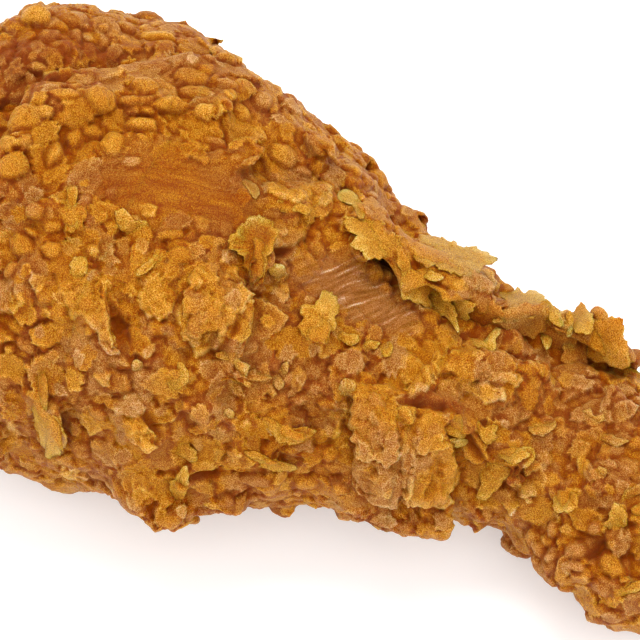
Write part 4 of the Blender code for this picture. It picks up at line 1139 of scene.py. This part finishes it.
def addFlake(gathered, rays, corners, unit, flake, seed):
    # corners start at the root, where the flake grows out of the crust; the far side stands free
    m = flakeMake
    rim = roundedRim(corners, m["spacing"] / unit)
    middle = rim.mean(axis=0)
    out = rim - middle
    out /= np.linalg.norm(out, axis=1, keepdims=True)
    jag = jagged(rim, unit, seed)
    wide = np.mean(np.linalg.norm(rim - middle, axis=1)) * unit
    rim = rim + out * (jag * m["ragged"] * min(1, wide / m["fullRagged"]) / unit)[:, None]
    shares = [*np.linspace(0, 1, int(np.clip(wide / m["ringStep"], 3, 14)))[1:-1], 0.93, 1.0]
    rings = [middle + (rim - middle) * share for share in [*shares, m["tuck"]]]
    flat = np.concatenate([[middle], *rings, [middle]])
    bed = bedDepth(rays, flat, middle, unit, flake.get("stiff", m["stiff"]))
    if bed is None:
        return False
    spokes = len(rim)
    share = np.concatenate([[0], np.repeat(shares, spokes), np.full(spokes, m["tuck"]), [0]])
    under = np.zeros(len(flat), bool)
    under[-spokes - 1:] = True
    root = np.array(corners[0], float)
    reach = np.max(np.linalg.norm(rim - root, axis=1))
    forward = (flat - root) @ (middle - root) / np.linalg.norm(middle - root) / reach
    forward = np.clip(forward, 0, 1)
    starts, ways = rays(flat)
    place = starts + ways * bed(flat)[:, None]
    crumple = noiseAt(place, m["crumpleSize"], seed) + 0.5 * noiseAt(place, m["crumpleSize"] / 2.3, seed + 5)
    lift = flake["lift"] * (m["liftShare"] if flake["lift"] < m["lowLift"] else 1.0)
    rise = -m["sunk"] + (m["sunk"] + lift) * easeIn(forward * 1.3)
    rise = rise + m["crumple"] * crumple * (0.3 + 0.7 * forward)
    near, _, number = cellsAt(place + seed, m["nubbleSize"])
    nubble = (np.clip(1 - (near / 0.75) ** 2, 0, 1) - 0.4) * (0.5 + number)
    rise = rise + m["grain"] * noiseAt(place, m["grainSize"], seed + 9) + m["nubble"] * nubble
    rise = rise + flake.get("dome", m["dome"]) * (1 - share**2) + flake.get("cup", 0.0) * share**3
    rise = rise - m["rimDrop"] * (share > 0.99)
    thick = m["thickness"] * (0.6 + 0.4 * (1 - share**3))
    rise = np.where(under, rise - thick - m["rootExtra"] * (1 - forward), rise)
    points = place - ways / np.linalg.norm(ways, axis=1, keepdims=True) * rise[:, None]
    span = np.linalg.norm(rim - middle, axis=1) * unit
    span = np.concatenate([span[:1], np.tile(span, len(shares) + 1), span[:1]])
    band = np.exp(-(((1 - share) * span / m["rimBand"]) ** 2))
    # Tone and relief are painted lighter where crumples and nubbles rise, as painted highlight; a cupped middle
    # and the whole underside are painted darker as shade.
    tone = 0.8 * flake["tone"] * (0.4 + 0.6 * forward) + 0.4 * crumple - flake.get("hollow", 0) * (1 - share**2)
    pale = band * (share < 0.99) * (0.1 + 0.9 * forward) * flake.get("pale", m["pale"])
    gathered.add(points, plateFaces(spokes, len(shares)), tone=tone, gold=flake["gold"],
                 edge=np.where(under, -0.7, pale), relief=np.where(under, -0.6, 0.4 * crumple + 0.9 * nubble))
    return True


looseFlakes = {
    "count": 300,
    "gap": 0.0042,
    "lengths": (0.0020, 0.0055),
    "widths": (0.25, 0.42),
    "lifts": (0.0001, 0.0005),
    "seed": 31,
    "photoMargin": 10,
    "facing": -0.88,
    "corners": 15,
}


def addShownFlakes(gathered):
    unit = 1 / photoCamera["pixelsPerMetre"]
    for number, (tone, gold, lift, corners, *more) in enumerate(shownFlakes):
        flake = {"tone": tone, "gold": gold, "lift": lift * mm, **(more[0] if more else {})}
        if not addFlake(gathered, cameraRays, corners, unit, flake, 3.7 * number + 1):
            print("flake left out", number, corners[0])


def addLooseFlakes(gathered):
    kind = looseFlakes
    rng = random.Random(kind["seed"])
    shown = inPhoto(*toPixels(plainPoints), kind["photoMargin"]) & (plainNormals @ back > kind["facing"])
    made = 0
    for place in spacedPlaces(kind["count"], kind["gap"], kind["seed"], 1.0 - shown):
        normal = plainNormals[place]
        length = rng.uniform(*kind["lengths"])
        looks = rng.uniform(0, 900), rng.uniform(0.9, 1.6), rng.uniform(0.4, 0.8)
        turn, rim = lobedOutline(*looks, kind["corners"])
        ahead = -rim * np.cos(turn) * length / 2
        aside = rim * np.sin(turn) * length * rng.uniform(*kind["widths"])
        flake = {
            "tone": rng.uniform(-0.1, 0.8),
            "gold": rng.uniform(-0.7, 0.8),
            "lift": rng.uniform(*kind["lifts"]),
        }
        rays = surfaceRays(bodyPoints[place], normal, anyWay(rng, normal))
        corners = np.roll(np.stack([ahead, aside], axis=1)[:-1], kind["corners"] // 2, axis=0)
        depths = [plainTree.ray_cast(Vector(a), Vector(b))[3] for a, b in zip(*rays(corners))]
        if None in depths or np.ptp(depths) > flakeMake["steepest"] * length:
            continue
        made += addFlake(gathered, rays, corners, 1.0, flake, rng.uniform(0, 900))
    print("loose flakes", made)


flakes = Gathered()
addShownFlakes(flakes)
looseOnes = Gathered()
addLooseFlakes(looseOnes)
pieces += [flakes.piece("crustFlakes"), looseOnes.piece("looseFlakes")]
print("flakes", len(flakes.faces), len(looseOnes.faces))


# Finishes

def nodeGroup(name, inputs, outputs):
    group = bpy.data.node_groups.new(name, "ShaderNodeTree")
    for label, value in inputs.items():
        kind = "NodeSocketColor" if isinstance(value, tuple) else "NodeSocketFloat"
        socket = group.interface.new_socket(label, in_out="INPUT", socket_type=kind)
        socket.default_value = value
    for label, kind in outputs.items():
        group.interface.new_socket(label, in_out="OUTPUT", socket_type=kind)
    return group, group.nodes.new("NodeGroupInput"), group.nodes.new("NodeGroupOutput")


def mathNode(tree, operation, a, b=None, c=None):
    node = tree.nodes.new("ShaderNodeMath")
    node.operation = operation
    for socket, value in zip(node.inputs, (a, b, c)):
        if value is None:
            continue
        if isinstance(value, (int, float)):
            socket.default_value = value
        else:
            tree.links.new(value, socket)
    return node.outputs[0]


def noiseNode(tree, where, scale, detail, roughness=0.55, distortion=0.0):
    node = tree.nodes.new("ShaderNodeTexNoise")
    tree.links.new(where, node.inputs["Vector"])
    values = {"Scale": scale, "Detail": detail, "Roughness": roughness, "Distortion": distortion}
    for label, value in values.items():
        if isinstance(value, (int, float)):
            node.inputs[label].default_value = value
        else:
            tree.links.new(value, node.inputs[label])
    return node.outputs["Fac"]


def objectPlace(tree):
    return tree.nodes.new("ShaderNodeTexCoord").outputs["Object"]


def linear(r, g, b):
    # a screen colour of 0 to 255 in the shader's own scale
    parts = [((c / 255 + 0.055) / 1.055) ** 2.4 if c > 10 else c / 255 / 12.92 for c in (r, g, b)]
    return (*parts, 1.0)


crumbs = {"fineScale": 7600, "coarseScale": 1100, "granuleScale": 7000, "speckleMiddle": 0.35}


def buildGrain():
    outputs = {"Speckle": "NodeSocketFloat", "Height": "NodeSocketFloat"}
    group, into, out = nodeGroup("crumbGrain", {"Coarse": 0.5}, outputs)
    where = objectPlace(group)
    fine = noiseNode(group, where, crumbs["fineScale"], 2, 0.7)
    coarse = noiseNode(group, where, crumbs["coarseScale"], 3, 0.6)
    cells = group.nodes.new("ShaderNodeTexVoronoi")
    cells.inputs["Scale"].default_value = crumbs["granuleScale"]
    group.links.new(where, cells.inputs["Vector"])
    granule = mathNode(group, "SUBTRACT", 0.55, cells.outputs["Distance"])
    above = mathNode(group, "SUBTRACT", fine, crumbs["speckleMiddle"])
    speckle = mathNode(group, "ADD", mathNode(group, "MULTIPLY", granule, 0.8), above)
    small = mathNode(group, "ADD", speckle, fine)
    height = mathNode(group, "MULTIPLY_ADD", coarse, into.outputs["Coarse"], small)
    group.links.new(speckle, out.inputs["Speckle"])
    group.links.new(height, out.inputs["Height"])
    return group


def buildMottle():
    outputs = {"Patches": "NodeSocketFloat", "Redness": "NodeSocketFloat"}
    group, into, out = nodeGroup("fryMottle", {"Scale": 240.0}, outputs)
    where = objectPlace(group)
    group.links.new(noiseNode(group, where, into.outputs["Scale"], 4, 0.6, 0.4), out.inputs["Patches"])
    wide = mathNode(group, "MULTIPLY", into.outputs["Scale"], 0.4)
    group.links.new(noiseNode(group, where, wide, 3, 0.55, 0.3), out.inputs["Redness"])
    return group


fryColours = {
    "golden": [(0.0, (150, 65, 1)), (0.2, (168, 88, 4)), (0.36, (187, 116, 12)), (0.5, (205, 139, 33)),
               (0.64, (226, 162, 54)), (0.78, (243, 184, 84)), (0.9, (250, 206, 126)), (1.0, (253, 228, 172))],
    "brown": [(0.0, (140, 60, 4)), (0.2, (156, 82, 15)), (0.36, (174, 107, 33)), (0.5, (192, 132, 59)),
              (0.64, (209, 154, 88)), (0.78, (225, 177, 120)), (0.9, (238, 199, 155)), (1.0, (248, 224, 190))],
}


def colourRamp(tree, stops, level, blend="LINEAR"):
    ramp = tree.nodes.new("ShaderNodeValToRGB")
    ramp.color_ramp.interpolation = blend
    while len(ramp.color_ramp.elements) < len(stops):
        ramp.color_ramp.elements.new(0.5)
    for element, (place, colour) in zip(ramp.color_ramp.elements, stops):
        element.position = place
        element.color = linear(*colour)
    tree.links.new(level, ramp.inputs["Fac"])
    return ramp.outputs["Color"]


def mixedColour(tree, share, first, second):
    mix = tree.nodes.new("ShaderNodeMix")
    mix.data_type = "RGBA"
    tree.links.new(share, mix.inputs["Factor"])
    tree.links.new(first, mix.inputs[6])  # the mix's two colours are its sockets 6 and 7
    tree.links.new(second, mix.inputs[7])
    return mix.outputs[2]


def buildFry():
    group, into, out = nodeGroup("fryColour", {"Level": 0.5, "Browning": 0.5}, {"Color": "NodeSocketColor"})
    ramps = [colourRamp(group, stops, into.outputs["Level"], "EASE") for stops in fryColours.values()]
    group.links.new(mixedColour(group, into.outputs["Browning"], *ramps), out.inputs["Color"])
    return group


# Skin colours; the streaks lift the level towards near white, painting the sheen of glossy skin on top of its
# real striations
skinAndSheenColours = [(0.0, (140, 82, 32)), (0.35, (170, 106, 50)), (0.6, (188, 126, 72)), (0.8, (210, 158, 114)),
               (1.0, (240, 210, 188))]


def buildSkin():
    middle = crumbs["speckleMiddle"]
    inputs = {"StreakAndSheen": 0.0, "Speckle": middle}
    group, into, out = nodeGroup("chickenSkin", inputs, {"Color": "NodeSocketColor"})
    # streaks lighten the skin: real striations with painted sheen
    level = mathNode(group, "MULTIPLY_ADD", into.outputs["StreakAndSheen"], 0.80, 0.46)
    speckle = mathNode(group, "SUBTRACT", into.outputs["Speckle"], middle)
    level = mathNode(group, "MULTIPLY_ADD", speckle, 0.6, level)
    group.links.new(colourRamp(group, skinAndSheenColours, level), out.inputs["Color"])
    return group


grainGroup, mottleGroup, fryGroup, skinGroup = buildGrain(), buildMottle(), buildFry(), buildSkin()

crustFinish = {
    "level": 0.540,
    "toneShare": 0.21,
    "reliefShare": 0.10,
    # pale rims raise the colour; the painted shadow beside rims and under flakes lowers it
    "edgeShare": 0.30,
    "grainAndGlintShare": 0.86,
    "patchShare": 0.26,
    # how much ambient occlusion darkens the colour in crevices and under overhangs: painted shade
    "paintedShadeShare": 0.36,
    "goldShare": 0.21,
    "skinShare": 0.85,
    "roughness": 0.56,
    "wetShine": 0.14,
    "oilShine": 0.22,
    "paintedShadeReach": 0.0030,
    "bump": 0.00034,
    "browning": (0.39, 0.61),
    "speckleRough": 0.25,
    "specular": 0.16,
    "subsurface": 0.50,
    "subsurfaceRadius": (1.0, 0.42, 0.12),
    "subsurfaceScale": 0.0016,
}


def attributeNode(tree, name):
    node = tree.nodes.new("ShaderNodeAttribute")
    node.attribute_name = name
    return node.outputs["Fac"]


def groupNode(tree, group):
    node = tree.nodes.new("ShaderNodeGroup")
    node.node_tree = group
    return node


def crustMaterial(name, finish):
    material = bpy.data.materials.new(name)
    material.use_nodes = True
    tree = material.node_tree
    shader = tree.nodes["Principled BSDF"]
    grain, mottle, fry = (groupNode(tree, g) for g in (grainGroup, mottleGroup, fryGroup))
    # Ambient occlusion paints shade into the colour: crevices and the ground under overhangs come out darker.
    occlusionShade = tree.nodes.new("ShaderNodeAmbientOcclusion")
    occlusionShade.samples = 6
    occlusionShade.inputs["Distance"].default_value = finish["paintedShadeReach"]
    level = finish["level"]
    # the relief term paints rises lighter and dips darker: painted highlight and shade
    for label in ("tone", "relief", "edge"):
        level = mathNode(tree, "MULTIPLY_ADD", attributeNode(tree, label), finish[f"{label}Share"], level)
    # fine crumb granules, lighter and darker, that also paint the crust's tiny glints
    speckle = mathNode(tree, "SUBTRACT", grain.outputs["Speckle"], crumbs["speckleMiddle"])
    level = mathNode(tree, "MULTIPLY_ADD", speckle, finish["grainAndGlintShare"], level)
    patches = mathNode(tree, "SUBTRACT", mottle.outputs["Patches"], 0.5)
    level = mathNode(tree, "MULTIPLY_ADD", patches, finish["patchShare"], level)
    hollow = mathNode(tree, "SUBTRACT", 1.0, occlusionShade.outputs["AO"])
    level = mathNode(tree, "MULTIPLY_ADD", hollow, -finish["paintedShadeShare"], level)
    tree.links.new(level, fry.inputs["Level"])
    browning = tree.nodes.new("ShaderNodeMapRange")
    browning.inputs["From Min"].default_value = finish["browning"][0]
    browning.inputs["From Max"].default_value = finish["browning"][1]
    gold = attributeNode(tree, "gold")
    hue = mathNode(tree, "MULTIPLY_ADD", gold, -finish["goldShare"], mottle.outputs["Redness"])
    tree.links.new(hue, browning.inputs["Value"])
    tree.links.new(browning.outputs["Result"], fry.inputs["Browning"])
    bare, oily = attributeNode(tree, "bare"), attributeNode(tree, "oily")
    skin = groupNode(tree, skinGroup)
    tree.links.new(attributeNode(tree, "streak"), skin.inputs["StreakAndSheen"])
    tree.links.new(grain.outputs["Speckle"], skin.inputs["Speckle"])
    skinShare = mathNode(tree, "MULTIPLY", bare, finish["skinShare"])
    colour = mixedColour(tree, skinShare, fry.outputs["Color"], skin.outputs["Color"])
    tree.links.new(colour, shader.inputs["Base Color"])
    wet = mathNode(tree, "SUBTRACT", 1.0, browning.outputs["Result"])
    sheen = mathNode(tree, "MAXIMUM", bare, oily)
    rough = mathNode(tree, "MULTIPLY_ADD", wet, -finish["wetShine"], finish["roughness"])
    rough = mathNode(tree, "MULTIPLY_ADD", sheen, -finish["oilShine"], rough)
    rough = mathNode(tree, "MULTIPLY_ADD", speckle, finish["speckleRough"], rough)
    tree.links.new(rough, shader.inputs["Roughness"])
    bump = tree.nodes.new("ShaderNodeBump")
    bump.inputs["Strength"].default_value = 1.0
    bump.inputs["Distance"].default_value = finish["bump"]
    tree.links.new(grain.outputs["Height"], bump.inputs["Height"])
    tree.links.new(bump.outputs["Normal"], shader.inputs["Normal"])
    shader.inputs["Specular IOR Level"].default_value = finish["specular"]
    shader.inputs["Subsurface Weight"].default_value = finish["subsurface"]
    shader.inputs["Subsurface Radius"].default_value = finish["subsurfaceRadius"]
    shader.inputs["Subsurface Scale"].default_value = finish["subsurfaceScale"]
    return material


crust = crustMaterial("crust", crustFinish)
for piece in pieces:
    piece.data.materials.append(crust)
    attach(piece, "root")
    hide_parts("drumstick")


# Studio: pale floor and soft light from the top of the picture

studio = {
    "floorColour": (0.88, 0.88, 0.88, 1.0),
    "floorGlow": 0.22,
    "floorSize": 3.0,
    "keyPlace": (-0.10, 0.22, 0.95),
    "keySize": 0.60,
    "keyPower": 7.5,
    "fillPlace": (0.35, -0.60, 0.85),
    "fillSize": 0.9,
    "fillPower": 6.0,
    "sky": 1.0,
}


def addLight(name, place, size, power):
    light = bpy.data.objects.new(name, bpy.data.lights.new(name, "AREA"))
    light.data.energy = power
    light.data.size = size
    light.location = place
    light.rotation_euler = Vector(place).to_track_quat("Z", "Y").to_euler()
    bpy.context.scene.collection.objects.link(light)


def addStudio():
    half = studio["floorSize"] / 2
    mesh = bpy.data.meshes.new("floor")
    corners = [(-half, -half, 0), (half, -half, 0), (half, half, 0), (-half, half, 0)]
    mesh.from_pydata(corners, [], [(0, 1, 2, 3)])
    floor = bpy.data.objects.new("floor", mesh)
    bpy.context.scene.collection.objects.link(floor)
    paint = bpy.data.materials.new("floor")
    paint.use_nodes = True
    shader = paint.node_tree.nodes["Principled BSDF"]
    shader.inputs["Base Color"].default_value = studio["floorColour"]
    shader.inputs["Roughness"].default_value = 0.9
    shader.inputs["Emission Color"].default_value = (1, 1, 1, 1)
    shader.inputs["Emission Strength"].default_value = studio["floorGlow"]
    floor.data.materials.append(paint)
    addLight("key", studio["keyPlace"], studio["keySize"], studio["keyPower"])
    addLight("fill", studio["fillPlace"], studio["fillSize"], studio["fillPower"])
    world = bpy.data.worlds.new("studio")
    world.use_nodes = True
    world.node_tree.nodes["Background"].inputs["Color"].default_value = (1, 1, 1, 1)
    world.node_tree.nodes["Background"].inputs["Strength"].default_value = studio["sky"]
    bpy.context.scene.world = world
    bpy.context.scene.view_settings.view_transform = "Standard"


addStudio()
print("finishes and studio made")
